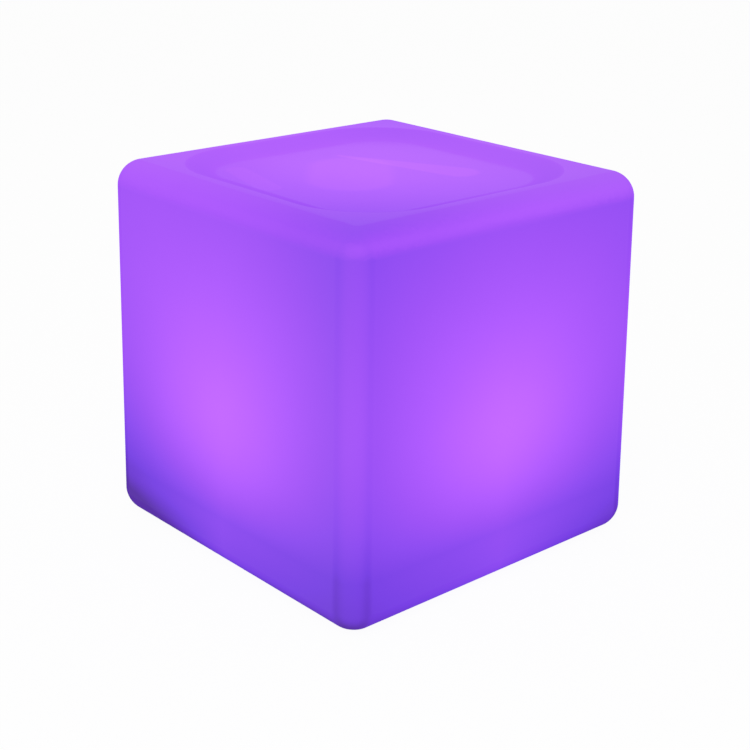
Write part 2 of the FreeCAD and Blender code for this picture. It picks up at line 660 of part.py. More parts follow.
def make_neck_ring():
    body = new_body("neck_ring")
    flange, tube = "sizes.ring_flange_diameter / 2", NECK_RADIUS
    top = f"{RING_FACE} + sizes.neck_height"
    Outline(body, "section", role="XZ_Plane").polygon([
        (NECK_BORE, RING_FACE),
        (f"{flange} - {BEVEL}", RING_FACE),
        (flange, f"{RING_FACE} + {BEVEL}"),
        (flange, RING_SEAT),
        (tube, RING_SEAT),
        (tube, f"{top} - {BEVEL}"),
        (f"{tube} - {BEVEL}", top),
        (NECK_BORE, top),
    ]).turn("ring")
    groove = thread_section(
        body, "groove_section", "sizes.thread_clearance", f"({RIDGE_START} - sizes.thread_pitch)"
    )
    groove.helix("thread_groove", "sizes.thread_pitch", "2 * sizes.thread_pitch + 1", cut=True)
    head = "sizes.ring_screw_head / 2 + sizes.screw_clearance"
    sink = Outline(body, "sink_section", role="XZ_Plane", shift="sizes.ring_screw_circle / 2")
    sink = sink.polygon([
        ("0", f"{RING_FACE} - 1"),
        (head, f"{RING_FACE} - 1"),
        (head, RING_FACE),
        (RING_SCREW_HOLE, f"{RING_FACE} + {head} - {RING_SCREW_HOLE}"),
        (RING_SCREW_HOLE, f"{RING_SEAT} + 1"),
        ("0", f"{RING_SEAT} + 1"),
    ]).turn("screw_sink", cut=True)
    around(sink, "sizes.ring_screw_count", "screw_sinks")
    return body


def make_ring_gasket():
    body = new_body("ring_gasket")
    edge = "sizes.ring_flange_diameter / 2 - sizes.gasket_inset"
    plan = Outline(body, "plan", RING_SEAT).circle(edge)
    plan.circle(f"{NECK_RADIUS} + sizes.gasket_clearance")
    plan.pad("gasket", "sizes.gasket_thickness")
    hole = Outline(body, "hole_plan", RING_SEAT)
    hole.circle(
        "sizes.ring_screw_diameter / 2 + 2 * sizes.gasket_clearance", x="sizes.ring_screw_circle / 2"
    )
    hole = hole.pocket("screw_hole", "sizes.gasket_thickness", up=True)
    around(hole, "sizes.ring_screw_count", "screw_holes")
    return body


def make_ring_inserts():
    """Knurled brass inserts, drawn with a waist so that the moulding grips them."""
    body = new_body("ring_inserts")
    outer, bore = "sizes.insert_diameter / 2", RING_SCREW_HOLE
    top = f"{CEILING} + sizes.insert_length"
    insert = Outline(body, "section", role="XZ_Plane", shift="sizes.ring_screw_circle / 2")
    insert = insert.polygon([
        (bore, CEILING),
        (outer, CEILING),
        (outer, f"{CEILING} + sizes.insert_length * 0.4"),
        (f"{outer} - {BEVEL}", f"{CEILING} + sizes.insert_length * 0.45"),
        (f"{outer} - {BEVEL}", f"{CEILING} + sizes.insert_length * 0.55"),
        (outer, f"{CEILING} + sizes.insert_length * 0.6"),
        (outer, top),
        (bore, top),
    ]).turn("insert")
    around(insert, "sizes.ring_screw_count", "inserts")
    return body


def make_ring_screws():
    body = new_body("ring_screws")
    head, shank = "sizes.ring_screw_head / 2", "sizes.ring_screw_diameter / 2"
    tip = f"{RING_FACE} + sizes.ring_screw_length"
    screw = Outline(body, "section", role="XZ_Plane", shift="sizes.ring_screw_circle / 2")
    screw = screw.polygon([
        ("0", f"{RING_FACE} + sizes.driver_depth"),
        ("sizes.driver_hole / 2", f"{RING_FACE} + sizes.driver_depth"),
        ("sizes.driver_hole / 2", RING_FACE),
        (head, RING_FACE),
        (shank, f"{RING_FACE} + {head} - {shank}"),
        (shank, f"{tip} - {BEVEL}"),
        (f"{shank} - {BEVEL}", tip),
        ("0", tip),
    ]).turn("screw")
    around(screw, "sizes.ring_screw_count", "screws")
    return body


# -------------------------------------------------------- the lamp unit's cup


def make_seal_ring():
    """A squeezed rubber ring: flat above and below, round at its sides."""
    body = new_body("seal_ring")
    inner = "(sizes.seal_diameter / 2 - sizes.seal_width / 2 + sizes.seal_bulge)"
    outer = "(sizes.seal_diameter / 2 + sizes.seal_width / 2 - sizes.seal_bulge)"
    top = f"({RING_FACE} - sizes.face_clearance)"
    low = f"({top} - sizes.seal_height)"
    Outline(body, "section", role="XZ_Plane").polygon(
        [(inner, low), (outer, low), (outer, top), (inner, top)],
        arcs={1: "sizes.seal_bulge", 3: "sizes.seal_bulge"},
    ).turn("seal")
    return body


def make_lamp_housing():
    body = new_body("lamp_housing")
    plate = "(sizes.plate_diameter / 2)"
    seal_inner = "(sizes.seal_diameter / 2 - sizes.seal_width / 2 - sizes.seal_clearance)"
    seal_outer = "(sizes.seal_diameter / 2 + sizes.seal_width / 2 + sizes.seal_clearance)"
    groove = f"({RING_FACE} - sizes.seal_height - 2 * sizes.face_clearance)"
    Outline(body, "section", role="XZ_Plane").polygon([
        ("0", PLATE_FACE),
        (f"{plate} - 2 * {BEVEL}", PLATE_FACE),
        (plate, f"{PLATE_FACE} + 2 * {BEVEL}"),
        (plate, PLATE_TOP),
        (seal_outer, PLATE_TOP),
        (seal_outer, groove),
        (seal_inner, groove),
        (seal_inner, PLATE_TOP),
        (CUP_RADIUS, PLATE_TOP),
        (CUP_RADIUS, CUP_RIM),
        (CUP_INSIDE, CUP_RIM),
        (CUP_INSIDE, FLOOR),
        ("0", FLOOR),
    ]).turn("cup")
    ridge = thread_section(body, "ridge_section", "0", RIDGE_START)
    ridge.helix("thread_ridge_turn", "sizes.thread_pitch", "sizes.thread_pitch")
    half_length, half_width = "(sizes.grip_length / 2)", "(sizes.grip_width / 2)"
    grip = Outline(body, "grip_plan", PLATE_FACE)
    straight = f"({half_length} - {half_width})"
    grip.polygon(
        [
            (f"-{straight}", f"-{half_width}"),
            (straight, f"-{half_width}"),
            (straight, half_width),
            (f"-{straight}", half_width),
        ],
        arcs={1: half_width, 3: half_width},
    )
    grip = grip.pad("grip_bar", "sizes.grip_height", taper="-sizes.grip_draft", down=True)
    low = value(f"{PLATE_FACE} - sizes.grip_height")
    round_edges(grip, lambda edge: is_level(edge, low), "sizes.grip_rounding", "grip_edges")
    core = Outline(body, "core_plan", FLOOR)
    core.rectangle(f"({straight})", f"({half_width} - sizes.grip_wall)")
    depth = "sizes.cup_floor + sizes.grip_height - sizes.grip_wall"
    core.pocket("grip_core", depth, taper="-sizes.grip_draft")
    post = Outline(body, "post_plan", FLOOR)
    post.circle("sizes.post_diameter / 2", x=POST_OUT, y=POST_OUT)
    around(post.pad("post", f"{POST_TOP} - {FLOOR}"), "4", "posts")
    hole = Outline(body, "post_hole_plan", POST_TOP).circle(SCREW_HOLE, x=POST_OUT, y=POST_OUT)
    around(hole.pocket("post_hole", "sizes.screw_length"), "4", "post_holes")
    stands = Outline(body, "stand_plan", FLOOR)
    lugs = Outline(body, "lug_stand_plan", FLOOR)
    stand_holes = Outline(body, "stand_hole_plan", CONTROL_BOARD)
    lug_holes = Outline(body, "lug_hole_plan", LUG_SEAT)
    for side in ("-1", "1"):
        x = f"{side} * {STANDOFF_X}"
        stands.circle("sizes.screw_diameter", x=x, y="-sizes.button_offset")
        stand_holes.circle(SCREW_HOLE, x=x, y="-sizes.button_offset")
        lugs.circle("sizes.screw_diameter", x=f"{side} * {LUG_X}", y=f"{side} * sizes.lug_offset")
        lug_holes.circle(SCREW_HOLE, x=f"{side} * {LUG_X}", y=f"{side} * sizes.lug_offset")
    stands.pad("board_stands", f"{CONTROL_BOARD} - {FLOOR}")
    lugs.pad("lug_stands", f"{LUG_SEAT} - {FLOOR}")
    stand_holes.pocket("stand_holes", "sizes.board_screw_length")
    lug_holes.pocket("lug_holes", f"{LUG_SEAT} - {FLOOR}")
    for name, radius, x, y in (
        ("bezel_hole", "sizes.bezel_diameter / 2 + sizes.hole_clearance", "0", "-sizes.button_offset"),
        ("socket_hole", "sizes.socket_diameter / 2 + sizes.hole_clearance", "0", "sizes.socket_offset"),
        (
            "anchor_hole",
            "sizes.anchor_stem_diameter / 2 + sizes.hole_clearance",
            ANCHOR_MIDDLE,
            "sizes.socket_offset",
        ),
    ):
        opening = Outline(body, f"{name}_plan", FLOOR).circle(radius, x=x, y=y)
        opening.pocket(name, "sizes.cup_floor")
    return body


# ------------------------------------------------------- lamps and their dome


def make_heat_spreader():
    body = new_body("heat_spreader")
    plan = Outline(body, "plan", POST_TOP).circle(f"{CUP_INSIDE} - sizes.spreader_clearance")
    plan.circle("sizes.lead_hole / 2", x=LAMP_LEAD_X, y=LAMP_LEAD_Y)
    plan.pad("plate", "sizes.spreader_thickness")
    hole = Outline(body, "hole_plan", CUP_RIM).circle(SCREW_HOLE, x=POST_OUT, y=POST_OUT)
    around(hole.pocket("screw_hole", "sizes.spreader_thickness"), "4", "screw_holes")
    tapped = Outline(body, "tapped_plan", CUP_RIM).circle(SCREW_HOLE, y="sizes.led_screw_circle / 2")
    tapped = tapped.pocket("tapped_hole", "sizes.spreader_thickness")
    around(tapped, "sizes.led_screw_count", "tapped_holes")
    return body


def make_led_board():
    body = new_body("led_board")
    Outline(body, "plan", CUP_RIM).circle("sizes.led_board_diameter / 2").pad(
        "board", "sizes.board_thickness"
    )
    hole = Outline(body, "hole_plan", LED_BOARD_TOP)
    hole = hole.circle(BOARD_HOLE, y="sizes.led_screw_circle / 2")
    hole = hole.pocket("screw_hole", "sizes.board_thickness")
    around(hole, "sizes.led_screw_count", "screw_holes")
    return body


def make_led_chips():
    body = new_body("led_chips")
    for ring in ("outer", "inner"):
        chip = Outline(body, f"{ring}_plan", LED_BOARD_TOP)
        chip.rectangle("sizes.led_size / 2", "sizes.led_size / 2", x=f"sizes.{ring}_led_circle / 2")
        chip = chip.pad(f"{ring}_chip", "sizes.led_height")
        around(chip, f"sizes.{ring}_led_count", f"{ring}_chips")
    return body


def screw_section(body, seat, length, shift, name="section"):
    """A round-headed screw, head up, with a hole for its driver."""
    head, shank = "(sizes.screw_head_diameter / 2)", "(sizes.screw_diameter / 2)"
    top = f"({seat} + sizes.screw_head_height)"
    outline = Outline(body, name, role="XZ_Plane", shift=shift)
    return outline.polygon([
        ("0", f"{seat} - {length}"),
        (f"{shank} - {BEVEL}", f"{seat} - {length}"),
        (shank, f"{seat} - {length} + {BEVEL}"),
        (shank, seat),
        (head, seat),
        (head, f"{top} - {BEVEL}"),
        (f"{head} - {BEVEL}", top),
        ("sizes.driver_hole / 2", top),
        ("sizes.driver_hole / 2", f"{top} - sizes.driver_depth"),
        ("0", f"{top} - sizes.driver_depth"),
    ])


def make_led_board_screws():
    body = new_body("led_board_screws")
    length = "(sizes.board_thickness + sizes.spreader_thickness)"
    screw = screw_section(body, LED_BOARD_TOP, length, "sizes.led_screw_circle / 2").turn("screw")
    around(screw, "sizes.led_screw_count", "screws")
    body.Placement.Rotation = FreeCAD.Rotation(FreeCAD.Vector(0, 0, 1), 90)
    return body


def make_dome_seal():
    body = new_body("dome_seal")
    plan = Outline(body, "plan", CUP_RIM).circle(DOME_EDGE)
    plan.circle(f"{CUP_INSIDE} + sizes.hole_clearance").pad("seal", "sizes.dome_seal_thickness")
    return body


def make_diffuser_dome():
    body = new_body("diffuser_dome")
    outer, inner = "(sizes.dome_base_diameter / 2)", "(sizes.dome_base_diameter / 2 - sizes.dome_wall)"
    inner_rise = f"({DOME_CROWN} - sizes.dome_wall - {LED_BOARD_TOP})"
    Outline(body, "section", role="XZ_Plane").polygon(
        [
            (inner, LED_BOARD_TOP),
            (inner, DOME_SEAT),
            (DOME_EDGE, DOME_SEAT),
            (DOME_EDGE, f"{DOME_FLANGE} - {BEVEL}"),
            (f"{DOME_EDGE} - {BEVEL}", DOME_FLANGE),
            (outer, DOME_FLANGE),
            ("0", DOME_CROWN),
            ("0", f"{DOME_CROWN} - sizes.dome_wall"),
        ],
        arcs={5: crown_rise(outer, "sizes.dome_rise"), 7: f"-{crown_rise(inner, inner_rise)}"},
    ).turn("dome")
    hole = Outline(body, "hole_plan", DOME_FLANGE).circle(SCREW_HOLE, x=POST_OUT, y=POST_OUT)
    hole = hole.pocket("screw_hole", f"{DOME_FLANGE} - {CUP_RIM}")
    around(hole, "4", "screw_holes")
    return body


def make_dome_screws():
    body = new_body("dome_screws")
    screw = screw_section(body, DOME_FLANGE, "sizes.screw_length", "sizes.post_circle / 2")
    around(screw.turn("screw"), "4", "screws")
    body.Placement.Rotation = FreeCAD.Rotation(FreeCAD.Vector(0, 0, 1), 45)
    return body


# ------------------------------------------------------------------- battery


def make_battery_cells():
    body = new_body("battery_cells")
    half = "sizes.cell_spacing / 2"
    radius = "sizes.cell_diameter / 2"
    cells = Outline(body, "section", role="YZ_Plane")
    cells.circle(radius, x=f"-{half}", y=CELL_AXIS).circle(radius, x=half, y=CELL_AXIS)
    cells = cells.pad("cells", "sizes.cell_length", both=True)
    round_edges(cells, lambda edge: edge.BoundBox.XLength < 0.01, "sizes.cell_rounding", "cell_edges")
    return body


def make_battery_cradle():
    body = new_body("battery_cradle")
    block = Outline(body, "plan", FLOOR)
    block.rectangle("sizes.cradle_length / 2", "sizes.cradle_width / 2")
    block.pad("block", "sizes.cradle_height")
    lug = Outline(body, "lug_plan", LUG_SEAT)
    holes = Outline(body, "lug_hole_plan", LUG_SEAT)
    for side in ("-1", "1"):
        x, y = f"{side} * {LUG_X}", f"{side} * sizes.lug_offset"
        lug.rectangle("(sizes.lug_length / 2)", "(sizes.lug_width / 2)", x=x, y=y)
        holes.circle(SCREW_HOLE, x=x, y=y)
    lug.pad("lugs", "sizes.lug_thickness")
    holes.pocket("lug_holes", "sizes.lug_thickness", up=True)
    troughs = Outline(body, "trough_section", role="YZ_Plane")
    for side in ("-", ""):
        troughs.circle(
            "sizes.cell_diameter / 2 + sizes.cell_clearance",
            x=f"{side}sizes.cell_spacing / 2",
            y=CELL_AXIS,
        )
    troughs.pocket("troughs", "2 * sizes.cradle_length", both=True)
    return body


def make_cradle_screws():
    body = new_body("cradle_screws")
    seat = f"({LUG_SEAT} + sizes.lug_thickness)"
    for name, side in (("left", "-1"), ("right", "1")):
        outline = screw_section(
            body, seat, "sizes.lug_screw_length", f"{side} * {LUG_X}", f"{name}_section"
        )
        outline.sketch.setExpression("AttachmentOffset.Base.z", f"-1 * {side} * sizes.lug_offset")
        outline.turn(f"{name}_screw")
    return body


def make_battery_strap():
    """A band from one side of the cradle over both cells to its other side."""
    body = new_body("battery_strap")
    half = "(sizes.cell_spacing / 2)"
    inner = "(sizes.cell_diameter / 2 + sizes.cell_clearance)"
    outer = f"({inner} + sizes.strap_thickness)"
    foot = f"({FLOOR} + sizes.cradle_height)"
    band = Outline(body, "section", level="-sizes.strap_offset", role="YZ_Plane")
    drop = f"({CELL_AXIS} - {foot})"
    corners = []
    for radius, ways in ((outer, ("", "-")), (inner, ("-", ""))):
        for way in ways:
            side = [(f"{way}({half} + {radius})", foot), (f"{way}({half} + {radius})", CELL_AXIS)]
            side.append((f"{way}{half}", f"{CELL_AXIS} + {radius}"))
            corners += side if way == ways[0] else side[::-1]
    bulge = "* (1 - sqrt(0.5))"
    arcs = {1: f"{outer} {bulge}", 3: f"{outer} {bulge}", 7: f"-{inner} {bulge}", 9: f"-{inner} {bulge}"}
    band.polygon(corners, arcs=arcs).pad("band", "sizes.strap_width", both=True)
    return body


def make_cell_tabs():
    """Nickel strips across the cells' ends, above the cradle's middle web."""
    body = new_body("cell_tabs")
    half = "(sizes.cell_spacing / 2 + sizes.cell_diameter / 4)"
    middle = f"({FLOOR} + sizes.cradle_height + sizes.cell_clearance + sizes.tab_width / 2)"
    for name, level in (
        ("left", "-sizes.cell_length / 2 - sizes.tab_thickness"),
        ("right", "sizes.cell_length / 2"),
    ):
        tab = Outline(body, f"{name}_plan", level, role="YZ_Plane")
        tab.rectangle(half, "(sizes.tab_width / 2)", y=middle)
        tab.pad(f"{name}_tab", "sizes.tab_thickness")
    return body


GUARD_BOARD = f"({CELL_AXIS} + sizes.cell_diameter / 2 + sizes.hole_clearance)"
GUARD_TOP = f"({GUARD_BOARD} + sizes.guard_board_thickness)"
CLIP_X = "(sizes.guard_board_offset - sizes.guard_board_length / 2 + sizes.clip_inset)"
CLIP_FACE_Y = "(sizes.clip_margin - sizes.guard_board_width / 2)"


def make_protection_board():
    body = new_body("protection_board")
    board = Outline(body, "plan", GUARD_BOARD)
    x = "sizes.guard_board_offset"
    board.rectangle("(sizes.guard_board_length / 2)", "(sizes.guard_board_width / 2)", x=x)
    board.pad("board", "sizes.guard_board_thickness")
    clip = Outline(body, "clip_plan", GUARD_TOP)
    clip.rectangle(
        "(sizes.clip_length / 2)",
        "(sizes.clip_width / 2)",
        x=CLIP_X,
        y=f"{CLIP_FACE_Y} + sizes.clip_width / 2",
    )
    clip.pad("clip", "sizes.clip_height")
    return body


# ------------------------------------------------- control board and switch


def make_control_board():
    body = new_body("control_board")
    board = Outline(body, "plan", CONTROL_BOARD)
    y = "-sizes.button_offset"
    board.rectangle("(sizes.control_board_length / 2)", "(sizes.control_board_width / 2)", y=y)
    for side in ("-1", "1"):
        board.circle(BOARD_HOLE, x=f"{side} * {STANDOFF_X}", y=y)
    board.pad("board", "sizes.board_thickness")
    return body


def make_board_chips():
    """The controller, its memory, a coil and two capacitors on the control board."""
    body = new_body("board_chips")
    chips = Outline(body, "chip_plan", CONTROL_TOP)
    chips.rectangle("(sizes.controller_length / 2)", "(sizes.controller_width / 2)", x="-2", y="-5")
    chips.rectangle("(sizes.memory_length / 2)", "(sizes.memory_width / 2)", x="6", y="-6")
    chips.pad("chips", "sizes.chip_height")
    coil = Outline(body, "coil_plan", CONTROL_TOP)
    coil.rectangle("(sizes.coil_size / 2)", "(sizes.coil_size / 2)", x="-9", y="-5.5")
    coil.pad("coil", "sizes.coil_height")
    cans = Outline(body, "can_plan", CONTROL_TOP)
    cans.circle("sizes.capacitor_diameter / 2", x="-1", y="3")
    cans.circle("sizes.capacitor_diameter / 2", x="14", y="-5")
    cans.pad("capacitors", "sizes.capacitor_height")
    return put(body, y="-sizes.button_offset")


PLUG_FACE_Y = "(6 - sizes.button_offset)"
PLUG_LEVEL = f"({CONTROL_TOP} + sizes.plug_height / 2)"
BATTERY_PLUG_X, CHARGE_PLUG_X = "-12", "6"


def make_board_plugs():
    """Plug housings on the control board: two face back, one faces up."""
    body = new_body("board_plugs")
    plugs = Outline(body, "plan", CONTROL_TOP)
    half_depth = "(sizes.plug_depth / 2)"
    for x in (BATTERY_PLUG_X, CHARGE_PLUG_X):
        plugs.rectangle("(sizes.plug_width / 2)", half_depth, x=x, y=f"{PLUG_FACE_Y} - {half_depth}")
    plugs.pad("back_plugs", "sizes.plug_height")
    lamp = Outline(body, "lamp_plan", CONTROL_TOP)
    lamp.rectangle("(sizes.plug_width / 2)", "(sizes.lamp_plug_depth / 2)", LAMP_LEAD_X, LAMP_LEAD_Y)
    lamp.pad("lamp_plug", "sizes.lamp_plug_height")
    return body


def make_board_screws():
    body = new_body("board_screws")
    for name, side in (("left", "-1"), ("right", "1")):
        outline = screw_section(
            body, CONTROL_TOP, "sizes.board_screw_length", f"{side} * {STANDOFF_X}", f"{name}_section"
        )
        outline.turn(f"{name}_screw")
    return put(body, y="-sizes.button_offset")


def make_power_switch():
    """A square push switch under the control board, open below for its plunger."""
    body = new_body("power_switch")
    half = "(sizes.switch_size / 2)"
    case = Outline(body, "plan", SWITCH_FACE).rectangle(half, half)
    case = case.pad("case", "sizes.switch_height")
    round_edges(case, lambda edge: edge.BoundBox.ZLength > 1, "sizes.switch_rounding", "case_edges")
    hole = Outline(body, "hole_plan", SWITCH_FACE)
    hole.circle("sizes.plunger_diameter / 2 + sizes.plunger_clearance")
    hole.pocket("plunger_hole", "sizes.switch_height - sizes.switch_back", up=True)
    return put(body, y="-sizes.button_offset")


def make_button_bezel():
    body = new_body("button_bezel")
    barrel = "(sizes.bezel_diameter / 2)"
    bore = "(sizes.button_diameter / 2 + sizes.button_clearance)"
    flange = "(sizes.bezel_flange_diameter / 2)"
    chamber = "(sizes.button_flange_diameter / 2 + 2 * sizes.button_clearance)"
    top = f"({FLOOR} + sizes.bezel_above_floor)"
    Outline(body, "section", role="XZ_Plane").polygon([
        (f"{bore} + {BEVEL}", BEZEL_FACE),
        (f"{flange} - {BEVEL}", BEZEL_FACE),
        (flange, f"{BEZEL_FACE} + {BEVEL}"),
        (flange, PLATE_FACE),
        (barrel, PLATE_FACE),
        (barrel, top),
        (chamber, top),
        (chamber, BUTTON_LEDGE),
        (bore, BUTTON_LEDGE),
        (bore, f"{BEZEL_FACE} + {BEVEL}"),
    ]).turn("bezel")
    return put(body, y="-sizes.button_offset")


def make_nut(owner, y):
    """A hexagon nut on the cup's floor, round its owner's barrel."""
    body = new_body(f"{owner}_nut")
    corner = f"(sizes.{owner}_nut_width / 2 / cos(30))"
    plan = Outline(body, "plan", FLOOR)
    steps = [(math.cos(math.radians(60 * i)), math.sin(math.radians(60 * i))) for i in range(6)]
    plan.polygon([(f"{corner} * {i:.9f}", f"{corner} * {j:.9f}") for i, j in steps])
    plan.circle(f"sizes.{owner}_diameter / 2 + sizes.nut_clearance")
    plan.pad("nut", "sizes.nut_thickness")
    return put(body, y=y)


def make_power_button():
    body = new_body("power_button")
    cap, flange = "(sizes.button_diameter / 2)", "(sizes.button_flange_diameter / 2)"
    stem = "(sizes.stem_diameter / 2)"
    ledge = f"({BUTTON_LEDGE} + sizes.button_clearance)"
    Outline(body, "section", role="XZ_Plane").polygon(
        [
            ("0", f"{BUTTON_FACE} + sizes.cap_hollow"),
            (f"{cap} - {BEVEL}", BUTTON_FACE),
            (cap, f"{BUTTON_FACE} + {BEVEL}"),
            (cap, ledge),
            (flange, ledge),
            (flange, SPRING_SEAT),
            (stem, SPRING_SEAT),
            (stem, STEM_TOP),
            ("0", STEM_TOP),
        ],
        arcs={0: f"-{crown_rise(f'({cap} - {BEVEL})', 'sizes.cap_hollow')}"},
    ).turn("button")
    return put(body, y="-sizes.button_offset")


def make_switch_plunger():
    """The plunger stands on the button's stem and runs in the switch."""
    body = new_body("switch_plunger")
    plan = Outline(body, "plan", STEM_TOP).circle("sizes.plunger_diameter / 2")
    plan.pad("plunger", f"{SWITCH_FACE} + sizes.plunger_overlap - {STEM_TOP}")
    return put(body, y="-sizes.button_offset")


def make_button_spring():
    body = new_body("button_spring")
    wire = "(sizes.spring_wire / 2)"
    rise = "(sizes.spring_length - sizes.spring_wire)"
    section = Outline(body, "wire_section", role="XZ_Plane")
    section.circle(wire, x="sizes.spring_diameter / 2", y=f"{SPRING_SEAT} + {wire}")
    section.helix("coil", f"{rise} / sizes.spring_turns", rise)
    pitch = value(f"{rise} / sizes.spring_turns")
    radius = value("sizes.spring_diameter / 2")
    steps = 72
    turn = [
        FreeCAD.Vector(
            radius * math.cos(2 * math.pi * i / steps),
            radius * math.sin(2 * math.pi * i / steps),
            pitch * i / steps,
        )
        for i in range(2 * steps)
    ]
    gap = min((turn[i] - turn[0]).Length for i in range(steps // 2, 2 * steps))
    print(f"button spring: least gap to itself {gap - value('sizes.spring_wire'):.2f} mm")
    return put(body, y="-sizes.button_offset")


# ------------------------------------------------- charging socket and flap


def make_charge_socket():
    body = new_body("charge_socket")
    bore, barrel = "(sizes.socket_bore / 2)", "(sizes.socket_diameter / 2)"
    flange, pin = "(sizes.socket_flange_diameter / 2)", "(sizes.socket_pin_diameter / 2)"
    end = f"({SOCKET_FACE} + sizes.socket_depth)"
    Outline(body, "section", role="XZ_Plane").polygon([
        (bore, SOCKET_FACE),
        (f"{flange} - {BEVEL}", SOCKET_FACE),
        (flange, f"{SOCKET_FACE} + {BEVEL}"),
        (flange, PLATE_FACE),
        (barrel, PLATE_FACE),
        (barrel, SOCKET_TOP),
        (pin, SOCKET_TOP),
        (pin, end),
        (bore, end),
    ]).turn("barrel")
    return put(body, y="sizes.socket_offset")


def make_socket_pin():
    body = new_body("socket_pin")
    pin = "(sizes.socket_pin_diameter / 2)"
    tip = f"({SOCKET_FACE} + sizes.flap_plug_height + sizes.pin_clearance)"
    Outline(body, "section", role="XZ_Plane").polygon([
        ("0", tip),
        (f"{pin} - {BEVEL}", tip),
        (pin, f"{tip} + {BEVEL}"),
        (pin, PIN_END),
        ("0", PIN_END),
    ]).turn("pin")
    return put(body, y="sizes.socket_offset")


HINGE_LEVEL = f"({FLAP_TOP} - sizes.flap_thickness / 2)"


def make_port_flap():
    """A silicone flap under the socket: tongue, plug and pull tab. Its end is
    round about the bend, which is the hinge's axis."""
    body = new_body("port_flap")
    end = "(sizes.socket_flange_diameter / 2 + sizes.flap_tab)"
    half = "(sizes.flap_thickness / 2)"
    tongue = Outline(body, "section", role="XZ_Plane").polygon(
        [
            (f"-{end}", FLAP_FACE),
            ("sizes.flap_hinge_offset", FLAP_FACE),
            ("sizes.flap_hinge_offset", FLAP_TOP),
            (f"-{end}", FLAP_TOP),
        ],
        arcs={1: half},
    )
    tongue = tongue.pad("tongue", "sizes.flap_width", both=True)
    reach = value(f"-{end}")
    tongue = round_edges(
        tongue,
        lambda edge: edge.BoundBox.ZLength > 1 and abs(edge.BoundBox.XMin - reach) < 0.01,
        "sizes.flap_end_radius",
        "tongue_end",
    )
    bore, tip = "(sizes.flap_plug_root / 2)", "(sizes.flap_plug_tip / 2)"
    low = f"({FLAP_TOP} - {half})"
    top = f"({SOCKET_FACE} + sizes.flap_plug_height)"
    Outline(body, "plug_section", role="XZ_Plane").polygon([
        ("0", low),
        (bore, low),
        (bore, SOCKET_FACE),
        (tip, top),
        ("0", top),
    ]).turn("plug")
    ridge = Outline(body, "ridge_plan", FLAP_FACE)
    ridge.rectangle(
        "(sizes.pull_ridge_width / 2)", "(sizes.pull_ridge_length / 2)", x=f"-{end} + sizes.pull_inset"
    )
    ridge.pad("pull_ridge", "sizes.pull_ridge_height", down=True)
    return put(body, y="sizes.socket_offset")


def make_flap_anchor():
    """The flap's fixed end: a pad under the plate and a stem through the floor."""
    body = new_body("flap_anchor")
    near = "(sizes.flap_hinge_offset + sizes.flap_thickness / 2 + sizes.hinge_gap)"
    far = f"({ANCHOR_MIDDLE} + sizes.anchor_length / 2)"
    block = Outline(body, "plan", FLAP_FACE)
    block.rectangle(f"(({far} - {near}) / 2)", "(sizes.flap_width / 2)", x=f"({far} + {near}) / 2")
    block.pad("pad", f"{PLATE_FACE} - {FLAP_FACE}")
    stem = Outline(body, "stem_section", role="XZ_Plane", shift=ANCHOR_MIDDLE)
    radius = "(sizes.anchor_stem_diameter / 2)"
    barb = f"({FLOOR} + sizes.hole_clearance)"
    tip = f"({barb} + sizes.anchor_barb_length)"
    stem.polygon([
        ("0", FLAP_TOP),
        (radius, FLAP_TOP),
        (radius, barb),
        (f"{radius} + sizes.barb_width", barb),
        (f"{radius} - sizes.barb_width", tip),
        ("0", tip),
    ]).turn("stem")
    return put(body, y="sizes.socket_offset")


# ---------------------------------------------------------------- the leads


def make_lead(name, points):
    """An insulated lead: straight runs joined by the largest fair arcs."""
    radius = value("sizes.lead_diameter / 2")
    spots = [FreeCAD.Vector(*(value(number) for number in point)) for point in points]
    edges, start, radii = [], spots[0], []
    for before, corner, after in zip(spots, spots[1:], spots[2:]):
        back, ahead = (before - corner), (after - corner)
        turn = math.pi - back.getAngle(ahead)
        run = 0.45 * min(back.Length, ahead.Length)
        radii.append(run / math.tan(turn / 2))
        back.normalize()
        ahead.normalize()
        enter, leave = corner + back * run, corner + ahead * run
        inward = (back + ahead).normalize()
        middle = corner + inward * (radii[-1] / math.cos(turn / 2) - radii[-1])
        edges.append(Part.LineSegment(start, enter).toShape())
        edges.append(Part.Arc(enter, middle, leave).toShape())
        start = leave
    edges.append(Part.LineSegment(start, spots[-1]).toShape())
    path = Part.Wire(edges)
    along = (spots[1] - spots[0]).normalize()
    profile = Part.Wire([Part.Circle(spots[0], along, radius).toShape()])
    tube = path.makePipeShell([profile], True, False)
    share = tube.Volume / (math.pi * radius ** 2 * path.Length)
    print(f"{name}: least bend {min(radii, default=0):.1f} mm, volume {share:.4f} of its length's")
    lead = doc.addObject("Part::Feature", name)
    lead.Label = name
    lead.Shape = tube
    lead.Placement = FreeCAD.Placement()
    return lead


